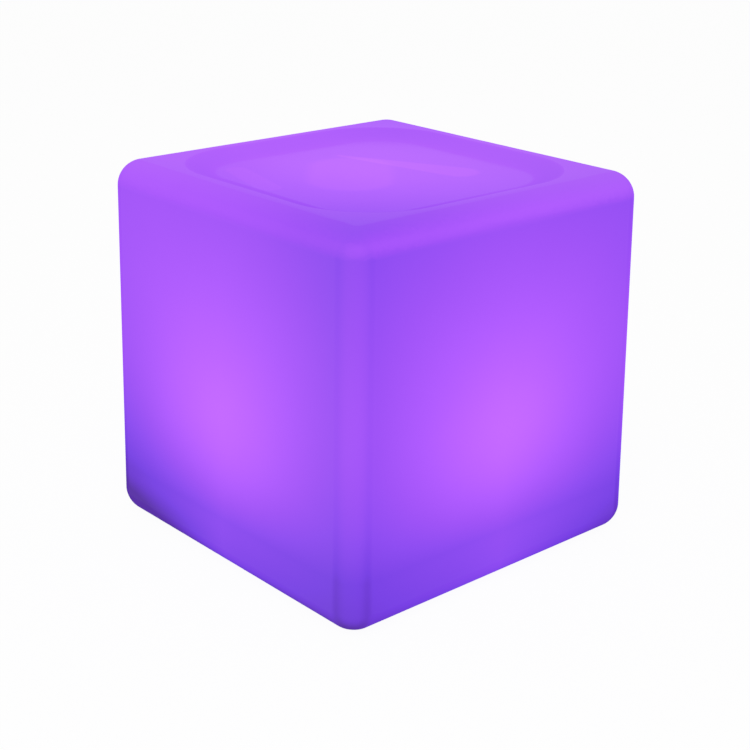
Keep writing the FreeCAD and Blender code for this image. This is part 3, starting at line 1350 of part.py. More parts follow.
def make_leads():
    clip = f"{GUARD_TOP} + sizes.clip_height / 2"
    battery = make_lead("battery_lead", [
        (BATTERY_PLUG_X, PLUG_FACE_Y, PLUG_LEVEL),
        ("-11.6", "-23", PLUG_LEVEL),
        ("-6.4", "-14.5", clip),
        (CLIP_X, CLIP_FACE_Y, clip),
    ])
    charge = make_lead("charge_lead", [
        ("0", "sizes.socket_offset", PIN_END),
        ("0", "sizes.socket_offset", "48.5"),
        ("0.8", "20", "50"),
        ("2.5", "2", "49.4"),
        ("4.4", "-13", "48.2"),
        (CHARGE_PLUG_X, "-21.5", f"{PLUG_LEVEL} + 0.2"),
        (CHARGE_PLUG_X, PLUG_FACE_Y, PLUG_LEVEL),
    ])
    lamp = make_lead("lamp_lead", [
        (LAMP_LEAD_X, LAMP_LEAD_Y, f"{CONTROL_TOP} + sizes.lamp_plug_height"),
        (LAMP_LEAD_X, LAMP_LEAD_Y, CUP_RIM),
    ])
    return [battery, charge, lamp]


def main():
    parts = [
        make_shell(),
        make_feet(),
        make_vent_plug(),
        make_neck_ring(),
        make_ring_gasket(),
        make_ring_inserts(),
        make_ring_screws(),
        make_seal_ring(),
        make_lamp_housing(),
        make_heat_spreader(),
        make_led_board(),
        make_led_chips(),
        make_led_board_screws(),
        make_dome_seal(),
        make_diffuser_dome(),
        make_dome_screws(),
        make_battery_cells(),
        make_battery_cradle(),
        make_cradle_screws(),
        make_battery_strap(),
        make_cell_tabs(),
        make_protection_board(),
        make_control_board(),
        make_board_chips(),
        make_board_plugs(),
        make_board_screws(),
        make_power_switch(),
        make_button_bezel(),
        make_nut("bezel", "-sizes.button_offset"),
        make_power_button(),
        make_switch_plunger(),
        make_button_spring(),
        make_charge_socket(),
        make_socket_pin(),
        make_nut("socket", "sizes.socket_offset"),
        make_port_flap(),
        make_flap_anchor(),
    ]
    parts += make_leads()
    doc.recompute()
    for item in doc.Objects:
        if any(state in ("Invalid", "Error") for state in item.State):
            raise RuntimeError(f"{item.Label} is {item.State}")
    for part in parts:
        if part.Shape.isNull() or not part.Shape.isValid() or not part.Shape.Solids:
            raise RuntimeError(f"{part.Label} has no valid solid")
    os.makedirs("parts", exist_ok=True)
    for part in parts:
        part.Shape.exportStep(f"parts/{part.Label}.step")


main()
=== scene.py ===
import json
import math

import bmesh
import bpy
from mathutils import Matrix, Vector


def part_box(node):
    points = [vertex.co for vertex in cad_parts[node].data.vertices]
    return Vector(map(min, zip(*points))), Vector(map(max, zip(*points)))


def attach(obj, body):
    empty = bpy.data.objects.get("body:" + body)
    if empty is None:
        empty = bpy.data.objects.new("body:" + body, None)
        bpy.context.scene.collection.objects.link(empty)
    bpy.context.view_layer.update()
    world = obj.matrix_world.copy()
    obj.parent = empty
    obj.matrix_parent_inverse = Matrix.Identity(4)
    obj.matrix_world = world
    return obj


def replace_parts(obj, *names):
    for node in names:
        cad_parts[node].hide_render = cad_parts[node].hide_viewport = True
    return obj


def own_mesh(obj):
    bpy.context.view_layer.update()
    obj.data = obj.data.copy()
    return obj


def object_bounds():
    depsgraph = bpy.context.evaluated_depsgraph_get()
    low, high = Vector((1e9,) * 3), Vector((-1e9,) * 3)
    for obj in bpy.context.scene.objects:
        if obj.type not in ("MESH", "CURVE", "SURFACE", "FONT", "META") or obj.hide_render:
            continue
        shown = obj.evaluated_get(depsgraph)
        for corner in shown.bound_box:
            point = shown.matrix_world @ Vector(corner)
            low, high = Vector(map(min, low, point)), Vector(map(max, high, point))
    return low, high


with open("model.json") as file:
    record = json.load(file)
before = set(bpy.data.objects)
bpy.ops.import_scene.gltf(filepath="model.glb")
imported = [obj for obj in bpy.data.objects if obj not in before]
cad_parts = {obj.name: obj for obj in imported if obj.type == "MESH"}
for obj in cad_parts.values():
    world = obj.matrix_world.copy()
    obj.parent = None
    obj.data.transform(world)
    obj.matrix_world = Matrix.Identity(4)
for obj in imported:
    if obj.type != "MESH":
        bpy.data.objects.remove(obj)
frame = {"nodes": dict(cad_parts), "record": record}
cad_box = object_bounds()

# A lit cube: a violet, translucent moulded shell on rubber feet, with a lamp unit
# screwed into its underside. Metres, Z up, the floor at Z = 0, the front at -Y.

MM = 0.001
NODES = frame["nodes"]
CUBE_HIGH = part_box("shell")[1]


# ------------------------------------------------------------- shader maths


class Wire:
    """One output of a node. Sums on wires are written as they are in Python."""

    def __init__(self, shader, socket):
        self.shader = shader
        self.socket = socket

    def maths(self, operation, *terms, clamp=False):
        """One operation on wires and numbers."""
        settings = {"operation": operation, "use_clamp": clamp}
        return self.shader.node("ShaderNodeMath", settings, *terms)

    def __add__(self, other):
        return self.maths("ADD", self, other)

    def __sub__(self, other):
        return self.maths("SUBTRACT", self, other)

    def __rsub__(self, other):
        return self.maths("SUBTRACT", other, self)

    def __mul__(self, other):
        return self.maths("MULTIPLY", self, other)

    def __truediv__(self, other):
        return self.maths("DIVIDE", self, other)

    def __pow__(self, other):
        return self.maths("POWER", self, other)

    def __neg__(self):
        return self.maths("MULTIPLY", self, -1.0)

    def __gt__(self, other):
        return self.maths("GREATER_THAN", self, other)

    def __lt__(self, other):
        return self.maths("LESS_THAN", self, other)

    def floor(self):
        return self.maths("FLOOR", self)

    def sine(self):
        return self.maths("SINE", self)

    def size(self):
        return self.maths("ABSOLUTE", self)

    def root(self):
        return self.maths("SQRT", self)

    def most(self, other):
        return self.maths("MAXIMUM", self, other)

    def clamp(self):
        return self.maths("ADD", self, 0.0, clamp=True)

    def ramp(self, low, high):
        """0 below low, 1 above high and a smooth rise between them."""
        settings = {"interpolation_type": "SMOOTHSTEP"}
        return self.shader.node("ShaderNodeMapRange", settings, self, low, high)


class Nodes:
    """A node tree and one way to add to it."""

    def __init__(self, tree):
        self.tree = tree

    def node(self, kind, settings, *values, out=0, **named):
        """Adds a node: its settings first, then its sockets' values or wires."""
        made = self.tree.nodes.new(kind)
        stops = settings.pop("stops", None)
        for key, setting in settings.items():
            setattr(made, key, setting)
        if stops:
            ramp = made.color_ramp.elements
            while len(ramp) < len(stops):
                ramp.new(1.0)
            for element, (spot, colour) in zip(ramp, stops):
                element.position = spot
                element.color = colour
        for socket, given in zip(made.inputs, values):
            self.give(socket, given)
        for key, given in named.items():
            self.give(made.inputs[key.replace("_", " ")], given)
        return Wire(self, made.outputs[out])

    def give(self, socket, given):
        """Joins a socket to a wire, or sets it to a value."""
        if isinstance(given, Wire):
            self.tree.links.new(given.socket, socket)
        else:
            socket.default_value = given


class Shader(Nodes):
    """A material's nodes: a Principled surface and what feeds it."""

    def __init__(self, name, **constants):
        self.material = bpy.data.materials.new(name)
        self.material.use_nodes = True
        super().__init__(self.material.node_tree)
        self.surface = self.tree.nodes["Principled BSDF"]
        self.feed(**constants)
        place = self.tree.nodes.new("ShaderNodeTexCoord")
        self.place = Wire(self, place.outputs["Object"])
        self.facing = Wire(self, place.outputs["Normal"])

    def parts(self, vector):
        """The X, Y and Z of a vector."""
        return [self.node("ShaderNodeSeparateXYZ", {}, vector, out=i) for i in range(3)]

    def noise(self, scale, detail=2.0, roughness=0.5, stretch=None):
        """Smooth noise from 0 to 1; scale counts its grains per metre."""
        spot = self.place
        if stretch:
            spot = self.node("ShaderNodeMapping", {}, spot, Scale=stretch)
        return self.node(
            "ShaderNodeTexNoise", {}, Vector=spot, Scale=scale, Detail=detail, Roughness=roughness
        )

    def ramp(self, amount, stops):
        """A colour that runs through (amount, (red, green, blue)) stops."""
        stops = [(spot, (*colour, 1.0)) for spot, colour in stops]
        return self.node("ShaderNodeValToRGB", {"stops": stops}, amount)

    def mix(self, amount, first, second):
        """A colour between two colours."""
        made = self.tree.nodes.new("ShaderNodeMix")
        made.data_type = "RGBA"
        self.give(made.inputs[0], amount)
        for socket, colour in zip(made.inputs[6:8], (first, second)):
            self.give(socket, colour if isinstance(colour, Wire) else (*colour, 1.0))
        return Wire(self, made.outputs[2])

    def feed(self, **inputs):
        """Sets the surface's inputs, each to a wire or a value."""
        for key, given in inputs.items():
            self.give(self.surface.inputs[key.replace("_", " ")], given)
        return self

    def bump(self, height, depth):
        """Relief from a height of 0 to 1, depth metres deep."""
        normal = self.node("ShaderNodeBump", {}, Strength=1.0, Distance=depth, Height=height)
        return self.feed(Normal=normal)


# ---------------------------------------------------------------- materials

CUBE_HALF = CUBE_HIGH.x
DISH_DEPTH = 10 * MM

# The shell's glow is counted as the red of its light. The lamp's own light comes
# first, and the top gets only a share of it.
LAMP = Vector((0.0, 0.0, 0.06))
LAMP_POWER = 0.035
TOP_LAMP_SHARE = 0.52

# The light that the hollow throws back, and what is taken from it at the top, in the
# lower corners and up the near edge. Towards the back it rises, a metre, by the
# first slope, less the second one at the foot.
HOLLOW_GLOW = 0.265
HOLLOW_FALL = 0.0225
CORNER_SHADE = 0.154
NEAR_EDGE_SHADE = 0.045
BACK_SLOPE, FOOT_SLOPE = 0.19, 0.357

# Painted light on the top: its dish, lighter to the right and the back, and the dish's rim.
TOP_GLOW = 0.047
DISH_RIGHT, DISH_BACK, DISH_TWIST = 0.046, 0.024, 0.051
RIM_GLOW, RIM_FALL = 0.025, 0.023

# The upright edges get painted light on their crests and painted shade on their flanks.
# The top edges get a painted highlight, and the lowest part of the walls a painted shade.
CREST_GLOW, CREST_BEND = 0.029, (0.45, 1.0)
FLANK_SHADE, FLANK_BEND = 0.025, (0.0, 0.55)
FILLET_GLOW, FILLET_FRONT, FILLET_CORNER = 0.012, 0.045, 0.075
BASE_SHADE_LEVELS = (20 * MM, 55 * MM)
BASE_SHADE_FRONT, BASE_SHADE_LEFT, BASE_SHADE_LEFT_BACK = 0.03, 0.035, 0.03

# Shares of the whole glow: the plastic's clouding, and the shade close to the floor.
CLOUDING = 0.05
FLOOR_LEVELS = (5 * MM, 26 * MM)
FLOOR_SHADE, FLOOR_LEFT, FLOOR_UNDER = 0.22, 0.25, 0.05

# A paler painted light that is mixed over the glow on the left side and the top, and
# the coat of the flats, which are found by the largest part of their normal.
PAINTED_LIGHT_COLOUR = (0.40, 0.42, 0.25)
PAINTED_LIGHT_SIDES, PAINTED_LIGHT_NEAR_EDGE, PAINTED_LIGHT_DISH = 0.010, 0.02, 0.5
FLAT_NORMAL, FLAT_COAT = (0.985, 0.998), 0.08

# The light's colour for each glow.
GLOW_COLOURS = [
    (0.09, (0.088, 0.025, 0.36)),
    (0.14, (0.138, 0.037, 0.61)),
    (0.18, (0.177, 0.048, 0.76)),
    (0.26, (0.257, 0.066, 0.86)),
    (0.34, (0.337, 0.080, 0.91)),
    (0.42, (0.417, 0.098, 0.975)),
    (0.50, (0.497, 0.118, 1.0)),
    (0.60, (0.597, 0.150, 1.0)),
]

# Painted highlights in the dish, a bright spot and two reflected streaks: start, end,
# half width at each end, added glow.
HIGHLIGHT_SOFTNESS = (0.8, 1.15)
PAINTED_DISH_HIGHLIGHTS = [
    ((-0.036, -0.005), (0.004, 0.041), 0.044, 0.044, 0.035),
    ((0.030, 0.090), (0.076, -0.046), 0.003, 0.021, 0.045),
    ((-0.096, 0.104), (-0.118, 0.022), 0.012, 0.013, 0.022),
]


def painted_highlight(x, y, start, end, first, last):
    """1 inside a painted highlight whose half width runs from first to last, soft at its side."""
    across, along = end[0] - start[0], end[1] - start[1]
    length = math.hypot(across, along)
    share = (((x - start[0]) * across + (y - start[1]) * along) / length**2).clamp()
    aside, ahead = x - start[0] - share * across, y - start[1] - share * along
    width = share * (last - first) + first
    return 1.0 - ((aside * aside + ahead * ahead).root() / width).ramp(*HIGHLIGHT_SOFTNESS)


def wall_glow(x, y, z, nx, ny, nz):
    """The lamp's own light on the wall at a place with a normal."""
    dx, dy, dz = x - LAMP.x, y - LAMP.y, z - LAMP.z
    square = dx * dx + dy * dy + dz * dz
    slant = (dx * nx + dy * ny + dz * nz).most(0.0)
    return dz.most(0.0) * slant / (square * square) * LAMP_POWER


def dish_glow(across, along, z):
    """What the dish and its rim add on the top."""
    dish = across * DISH_RIGHT + along * DISH_BACK - across * along * DISH_TWIST + TOP_GLOW
    rim = ((z - (CUBE_HIGH.z - DISH_DEPTH)) / DISH_DEPTH).clamp()
    return dish + rim * (RIM_GLOW - (across + along) * RIM_FALL)


def lit_polyethylene():
    """Milky polyethylene, lit from inside by a lamp that shines up from its base.

    The glow is painted, from the place and the normal alone. It starts from the light
    that falls on the wall: the lamp's own spread about the upright, the slant at which
    it meets the wall and the square of the way, over what the hollow throws back.
    The dish, the rounded edges and the base then change it."""
    shader = Shader(
        "lit_polyethylene",
        Emission_Strength=1.0,
        Specular_IOR_Level=0.0,
        Coat_Roughness=0.3,
    )
    x, y, z = shader.parts(shader.place)
    nx, ny, nz = shader.parts(shader.facing)
    across, along = x / CUBE_HALF, y / CUBE_HALF
    top, under = nz.most(0.0), (-nz).most(0.0)
    left, front = (-nx).most(0.0), (-ny).most(0.0)
    near_edge = ((across + along) * -0.5).most(0.0) ** 4
    height = (z / CUBE_HIGH.z).clamp()
    depth = 1.0 - height

    corner = (across * along).size()
    hollow = HOLLOW_GLOW - height * HOLLOW_FALL - corner * depth * depth * CORNER_SHADE
    hollow = hollow + y * (BACK_SLOPE - depth * FOOT_SLOPE)
    hollow = hollow - near_edge * height * (1.0 - top) * NEAR_EDGE_SHADE
    lamp = wall_glow(x, y, z, nx, ny, nz) * (1.0 - top * (1.0 - TOP_LAMP_SHARE))
    dish = dish_glow(across, along, z)
    glow = lamp + hollow + top * dish
    # painted highlights in the dish: a bright spot and reflected streaks
    for start, end, first, last, added in PAINTED_DISH_HIGHLIGHTS:
        glow = glow + painted_highlight(x, y, start, end, first, last) * top * added

    # painted light on the upright edges' crests and painted shade on their flanks
    bend = (nx * ny).size() * 2.0
    crest, flank = bend.ramp(*CREST_BEND), bend.ramp(*FLANK_BEND)
    glow = glow + crest * CREST_GLOW - flank * FLANK_SHADE
    # a painted highlight along the top edges, stronger on the front and at the near corner
    fillet = (top * (1.0 - top) * 4.0) ** 2
    glow = glow + fillet * (front * FILLET_FRONT + near_edge * FILLET_CORNER + FILLET_GLOW)
    # painted shade on the lowest part of the walls: on the left, more towards the back, and on the
    # front
    base = (1.0 - z.ramp(*BASE_SHADE_LEVELS)) * (1.0 - near_edge)
    aside = left * (along.ramp(0.0, 0.5) * BASE_SHADE_LEFT_BACK + BASE_SHADE_LEFT)
    glow = glow - base * (aside + front * BASE_SHADE_FRONT)
    cloud = shader.noise(9.0, detail=3.0) - 0.5
    low = 1.0 - z.ramp(*FLOOR_LEVELS)
    shade = low * (left * FLOOR_LEFT + under * FLOOR_UNDER + FLOOR_SHADE)
    glow = glow * (cloud * CLOUDING + 1.0) * (1.0 - shade)

    colour = shader.ramp(glow, GLOW_COLOURS)
    # painted paler light on the left side and the top, more at the near edge and where the dish is
    # lit
    painted_pale_light = (left + top) * (near_edge * PAINTED_LIGHT_NEAR_EDGE + PAINTED_LIGHT_SIDES) + top * dish * PAINTED_LIGHT_DISH
    flat = nx.size().most(ny.size()).most(nz.size()).ramp(*FLAT_NORMAL)
    skin = shader.noise(220.0, detail=2.0)
    shader.feed(Emission_Color=shader.mix(painted_pale_light, colour, PAINTED_LIGHT_COLOUR))
    shader.feed(Base_Color=shader.mix(cloud + 0.5, (0.016, 0.006, 0.03), (0.022, 0.009, 0.04)))
    shader.feed(Roughness=shader.noise(60.0, detail=4.0) * 0.10 + 0.30)
    shader.feed(Coat_Weight=flat * FLAT_COAT)
    return shader.bump(skin, 0.00004).material


# Radians of a pattern's waves a metre: tool marks outwards and upwards, a weave's
# threads and a pair's twist. Then the pitch of a board's tracks.
MARKS_OUT, MARKS_UP = 9000.0, 5200.0
WEAVE_TURN = 6000.0
TWIST_TURN = 900.0
TRACK_PITCH = 2.1 * MM
TRACK_HALF = 0.17          # half a track's width, as a share of the pitch


def moulded_plastic(name, colour, shade):
    """Fine satin plastic with a spark-eroded grain and faint flow marks."""
    shader = Shader(name, Specular_IOR_Level=0.5)
    flow = shader.noise(22.0, detail=3.0)
    grains = shader.noise(1400.0, detail=2.0)
    shader.feed(Base_Color=shader.mix(flow, colour, shade))
    shader.feed(Roughness=grains * 0.16 + 0.34)
    return shader.bump(grains, 0.00004).material


def soft_rubber(name, colour, shade, roughness=0.62):
    """Matt rubber or silicone with a dusty bloom."""
    shader = Shader(name, Specular_IOR_Level=0.4, Sheen_Weight=0.15, Sheen_Roughness=0.5)
    bloom = shader.noise(80.0, detail=5.0, roughness=0.6)
    pores = shader.noise(2600.0, detail=1.0)
    shader.feed(Base_Color=shader.mix(bloom, colour, shade))
    shader.feed(Roughness=bloom * 0.14 + (roughness - 0.07))
    return shader.bump(pores, 0.00003).material


def turned_metal(name, colour, shade):
    """Machined metal with fine round tool marks about the upright."""
    shader = Shader(name, Metallic=1.0)
    x, y, z = shader.parts(shader.place)
    marks = ((x * x + y * y).root() * MARKS_OUT + z * MARKS_UP).sine() * 0.5 + 0.5
    tarnish = shader.noise(120.0, detail=4.0)
    shader.feed(Base_Color=shader.mix(tarnish, colour, shade))
    shader.feed(Roughness=tarnish * 0.12 + marks * 0.06 + 0.19)
    return shader.bump(marks, 0.00001).material


def brushed_sheet(name, colour, shade):
    """Rolled or brushed sheet metal, its grain along X."""
    shader = Shader(name, Metallic=1.0)
    grain = shader.noise(1500.0, detail=3.0, stretch=(0.02, 1, 1))
    shader.feed(Base_Color=shader.mix(grain, colour, shade))
    shader.feed(Roughness=grain * 0.2 + 0.22)
    return shader.bump(grain, 0.00001).material


def circuit_board(name, mask, track):
    """Solder mask over copper tracks that run square to each other."""
    shader = Shader(name, Specular_IOR_Level=0.5, Roughness=0.3, Coat_Weight=0.4)
    x, y, _ = shader.parts(shader.place)
    patch = shader.noise(160.0, detail=0.0) > 0.5
    along, across = x / TRACK_PITCH, y / TRACK_PITCH
    rows = (along - along.floor() - 0.5).size() < TRACK_HALF
    columns = (across - across.floor() - 0.5).size() < TRACK_HALF
    tracks = patch * rows + (1 - patch) * columns
    shader.feed(Base_Color=shader.mix(tracks, mask, track))
    return shader.bump(tracks, 0.00003).material


def lit_chip():
    """A lamp chip: a glowing phosphor window in a white case."""
    shader = Shader("lit_chip", Roughness=0.35, Emission_Strength=4.0)
    bright = shader.noise(500.0, detail=1.0)
    shader.feed(Base_Color=shader.mix(bright, (0.8, 0.75, 0.85), (0.9, 0.88, 0.9)))
    shader.feed(Emission_Color=shader.mix(bright, (0.45, 0.12, 1.0), (0.6, 0.2, 1.0)))
    return shader.material


def frosted_dome():
    """Clear polycarbonate with a light frost on its inside."""
    shader = Shader("frosted_dome", Transmission_Weight=0.9, IOR=1.58)
    frost = shader.noise(1200.0, detail=2.0)
    shader.feed(Base_Color=shader.mix(frost, (0.9, 0.91, 0.95), (0.96, 0.96, 0.98)))
    shader.feed(Roughness=frost * 0.15 + 0.15)
    return shader.bump(frost, 0.00002).material


def shrink_film():
    """Plain shrink film on the cells, with fine lengthwise wrinkles."""
    shader = Shader("shrink_film", Coat_Weight=0.5, Coat_Roughness=0.1)
    wrinkles = shader.noise(300.0, detail=3.0, stretch=(0.15, 1, 1))
    shader.feed(Base_Color=shader.mix(wrinkles, (0.05, 0.22, 0.5), (0.08, 0.28, 0.58)))
    shader.feed(Roughness=wrinkles * 0.15 + 0.22)
    return shader.bump(wrinkles, 0.00005).material


def woven_strap():
    """Flat woven strap: warp and weft that pass over each other."""
    shader = Shader("woven_strap", Specular_IOR_Level=0.3, Roughness=0.8, Sheen_Weight=0.3)
    x, y, z = shader.parts(shader.place)
    warp = (x * WEAVE_TURN).sine()
    weft = ((y + z) * WEAVE_TURN).sine()
    weave = warp * weft * 0.5 + 0.5
    shader.feed(Base_Color=shader.mix(weave, (0.035, 0.035, 0.04), (0.09, 0.09, 0.1)))
    return shader.bump(weave, 0.00015).material


def lead_cover():
    """A red and a black silicone wire, twisted together, as colour along the lead."""
    shader = Shader("lead_cover", Specular_IOR_Level=0.45)
    x, y, z = shader.parts(shader.place)
    twist = ((x * 1.3 + y + z) * TWIST_TURN).sine() > 0.0
    wear = shader.noise(400.0, detail=2.0)
    shader.feed(Base_Color=shader.mix(twist, (0.5, 0.02, 0.015), (0.03, 0.03, 0.03)))
    shader.feed(Roughness=wear * 0.15 + 0.35)
    return shader.bump(wear, 0.00003).material


MATERIALS = {
    "milky_polyethylene": lit_polyethylene(),
    "white_moulding": moulded_plastic("white_moulding", (0.74, 0.74, 0.73), (0.8, 0.8, 0.79)),
    "grey_silicone": soft_rubber("grey_silicone", (0.2, 0.21, 0.22), (0.28, 0.29, 0.3), 0.5),
    "black_rubber": soft_rubber("black_rubber", (0.018, 0.018, 0.019), (0.04, 0.04, 0.042)),
    "plain_brass": turned_metal("plain_brass", (0.72, 0.5, 0.2), (0.8, 0.6, 0.3)),
    "stainless_screws": turned_metal("stainless_screws", (0.6, 0.6, 0.61), (0.72, 0.72, 0.72)),
    "spreader_aluminium": brushed_sheet("spreader_aluminium", (0.7, 0.71, 0.73), (0.8, 0.8, 0.82)),
    "white_circuit_board": circuit_board("white_board", (0.78, 0.78, 0.76), (0.7, 0.7, 0.67)),
    "lamp_chips": lit_chip(),
    "clear_dome": frosted_dome(),
    "cell_wrap": shrink_film(),
    "black_plastic": moulded_plastic("black_plastic", (0.02, 0.02, 0.022), (0.032, 0.032, 0.035)),
    "strap_web": woven_strap(),
    "nickel": brushed_sheet("nickel", (0.62, 0.6, 0.56), (0.74, 0.72, 0.68)),
    "green_circuit_board": circuit_board("green_board", (0.012, 0.12, 0.04), (0.03, 0.22, 0.08)),
    "black_chips": moulded_plastic("black_chips", (0.015, 0.015, 0.016), (0.025, 0.025, 0.027)),
    "cream_plugs": moulded_plastic("cream_plugs", (0.7, 0.66, 0.52), (0.76, 0.72, 0.6)),
    "grey_button": moulded_plastic("grey_button", (0.1, 0.105, 0.115), (0.13, 0.135, 0.145)),
    "red_lead": lead_cover(),
}


def dress_nodes():
    """Every carried-over node takes its slot's material."""
    for part in frame["record"]["subparts"]:
        mesh = NODES[part["node"]].data
        mesh.materials.clear()
        mesh.materials.append(MATERIALS[part["material_slot"]])


# ------------------------------------------------------------------- pieces


WELD = 0.002 * MM

SMOOTHED = {
    "shell": ["shell", "neck_ring", "vent_plug"],
    "lamp_unit": ["lamp_housing", "button_bezel", "charge_socket", "flap_anchor", "diffuser_dome"],
    "button": ["power_button"],
    "flap": ["port_flap"],
}


def add_piece(name, mesh, slot, body):
    """A finished piece: its slot's material, riding on a body."""
    piece = bpy.data.objects.new(name, mesh)
    bpy.context.scene.collection.objects.link(piece)
    mesh.materials.clear()
    mesh.materials.append(MATERIALS[slot])
    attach(piece, body)
    return piece


def smooth_piece(form, name, slot, body, crease):
    """The form as a piece, smooth but for its creases, in degrees."""
    for face in form.faces:
        face.smooth = True
    for edge in form.edges:
        if len(edge.link_faces) == 2:
            edge.smooth = edge.calc_face_angle(0.0) < math.radians(crease)
    mesh = bpy.data.meshes.new(name)
    form.to_mesh(mesh)
    form.free()
    return add_piece(name, mesh, slot, body)


def smooth_copy(node, slot, body):
    """The node's own form with welded corners, so that its curves shade as curves."""
    form = bmesh.new()
    form.from_mesh(NODES[node].data)
    bmesh.ops.remove_doubles(form, verts=form.verts, dist=WELD)
    piece = smooth_piece(form, f"{node}_form", slot, body, crease=32.0)
    even = piece.modifiers.new("even_shading", "WEIGHTED_NORMAL")
    even.keep_sharp = True
    even.weight = 100
    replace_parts(piece, node)
    return piece


# The underside's own details: where they are, from the nodes' boxes, and their sizes.
UNDERSIDE = {node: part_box(node) for node in ("ring_screws", "rubber_feet")}

RING_FACE = UNDERSIDE["ring_screws"][0].z
SCREW_TIP = UNDERSIDE["ring_screws"][1].z
SCREW_COUNT = 6
SCREW_HEAD, SCREW_SHANK = 3.8 * MM, 2.0 * MM
SCREW_CIRCLE = UNDERSIDE["ring_screws"][1].x - SCREW_HEAD
HEAD_LIP, HEAD_EDGE, HEAD_RIM = 0.15 * MM, 0.08 * MM, 0.1 * MM
TIP_CHAMFER = 0.3 * MM
SOCKET_RADIUS, SOCKET_DEPTH, SOCKET_CHAMFER = 1.25 * MM, 1.6 * MM, 0.12 * MM

FOOT_SPOT = 138 * MM
FOOT_RADIUS = UNDERSIDE["rubber_feet"][1].x - FOOT_SPOT
FOOT_TOP = UNDERSIDE["rubber_feet"][1].z
FOOT_EDGE, FOOT_EDGE_STEPS = 1.0 * MM, 4
GROOVES = (3.0 * MM, 7.2 * MM)
GROOVE_WIDTH, GROOVE_DEPTH, GROOVE_FLANK = 1.4 * MM, 0.6 * MM, 0.2 * MM

PLATE_FACE = 18 * MM
GRIP_HALF_WIDTH, GRIP_DRAFT = 9.5 * MM, math.radians(8)
RIB_SPACING, RIBS_A_SIDE = 6 * MM, 13
RIB_SIZE, RIB_SUNK = (1.4 * MM, 1.3 * MM, 9.0 * MM), 0.15 * MM
RIB_MIDDLE, RIB_EDGE = 12 * MM, 0.4 * MM

RING_MARK_SPOT, PLATE_MARK_SPOT = 69.5 * MM, 61.5 * MM
POINT_RADIUS, POINT_DEPTH, POINT_EDGE = 1.7 * MM, 0.7 * MM, 0.12 * MM

BUTTON_SPOT = Vector((0, -35 * MM, 0))
MARK_LEVEL, MARK_HEIGHT = 17.45 * MM, 0.45 * MM
MARK_INSIDE, MARK_OUTSIDE, MARK_GAP = 2.3 * MM, 2.9 * MM, math.radians(38)
BAR_WIDTH, BAR_LENGTH, BAR_SPOT = 0.6 * MM, 2.4 * MM, 2.2 * MM


def end_loop(edges, verts):
    """The edges that join two of the vertices."""
    return [edge for edge in edges if edge.verts[0] in verts and edge.verts[1] in verts]


def turned(form, spot, loops, segments=36):
    """A closed body about an upright axis at spot, from its loops in order.

    A loop is its radius, its level and its sides. It is a circle where it has 0
    sides, and otherwise a polygon whose half width is the radius."""
    circle = bmesh.ops.create_circle(form, cap_ends=True, segments=segments, radius=1.0)
    verts = set(circle["verts"])
    edges = end_loop({edge for vert in verts for edge in vert.link_edges}, verts)
    turns = {vert: math.atan2(vert.co.y, vert.co.x) for vert in verts}
    for step, (radius, level, sides) in enumerate(loops):
        if step:
            grown = bmesh.ops.extrude_edge_only(form, edges=edges)["geom"]
            verts = {item for item in grown if isinstance(item, bmesh.types.BMVert)}
            edges = end_loop([item for item in grown if isinstance(item, bmesh.types.BMEdge)], verts)
            turns = {vert: math.atan2(vert.co.y - spot[1], vert.co.x - spot[0]) for vert in verts}
        for vert, turn in turns.items():
            reach = radius
            if sides:
                half = math.pi / sides
                reach = radius / math.cos(turn % (2 * half) - half)
            vert.co = (spot[0] + reach * math.cos(turn), spot[1] + reach * math.sin(turn), level)
    bmesh.ops.edgeloop_fill(form, edges=edges)


def finish_piece(form, name, slot, body, crease=35.0):
    """A form made here as a piece, with its faces turned outwards."""
    bmesh.ops.recalc_face_normals(form, faces=form.faces)
    return smooth_piece(form, name, slot, body, crease)


def round_edges(form, offset):
    """Rounds every edge of the form."""
    bmesh.ops.bevel(
        form, geom=form.edges[:], offset=offset, segments=2, affect="EDGES",
        profile=0.5, material=-1,
    )


def make_ring_screws():
    """Countersunk screws with hexagon sockets."""
    form = bmesh.new()
    for count in range(SCREW_COUNT):
        turn = 2 * math.pi * count / SCREW_COUNT
        spot = (SCREW_CIRCLE * math.cos(turn), SCREW_CIRCLE * math.sin(turn))
        turned(form, spot, [
            (SOCKET_RADIUS, RING_FACE + SOCKET_DEPTH, 6),
            (SOCKET_RADIUS, RING_FACE + SOCKET_CHAMFER, 6),
            (SOCKET_RADIUS + SOCKET_CHAMFER, RING_FACE, 6),
            (SCREW_HEAD - HEAD_LIP, RING_FACE, 0),
            (SCREW_HEAD - HEAD_EDGE, RING_FACE + HEAD_RIM, 0),
            (SCREW_SHANK, RING_FACE + SCREW_HEAD - SCREW_SHANK, 0),
            (SCREW_SHANK, SCREW_TIP - TIP_CHAMFER, 0),
            (SCREW_SHANK - TIP_CHAMFER, SCREW_TIP, 0),
        ])
    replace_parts(finish_piece(form, "ring_screws_form", "stainless_screws", "shell"), "ring_screws")


def make_feet():
    """Rubber feet with two round grooves in their treads and rounded edges."""
    form = bmesh.new()
    tread = []
    for inner in GROOVES:
        outer = inner + GROOVE_WIDTH
        tread += [(inner - GROOVE_FLANK, 0.0, 0), (inner, GROOVE_DEPTH, 0)]
        tread += [(outer, GROOVE_DEPTH, 0), (outer + GROOVE_FLANK, 0.0, 0)]
    for step in range(FOOT_EDGE_STEPS + 1):
        turn = math.pi / 2 * step / FOOT_EDGE_STEPS
        out = FOOT_RADIUS - FOOT_EDGE + FOOT_EDGE * math.sin(turn)
        tread.append((out, FOOT_EDGE - FOOT_EDGE * math.cos(turn), 0))
    tread.append((FOOT_RADIUS, FOOT_TOP, 0))
    for x in (-FOOT_SPOT, FOOT_SPOT):
        for y in (-FOOT_SPOT, FOOT_SPOT):
            turned(form, (x, y), tread, segments=48)
    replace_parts(finish_piece(form, "rubber_feet_form", "black_rubber", "shell"), "rubber_feet")


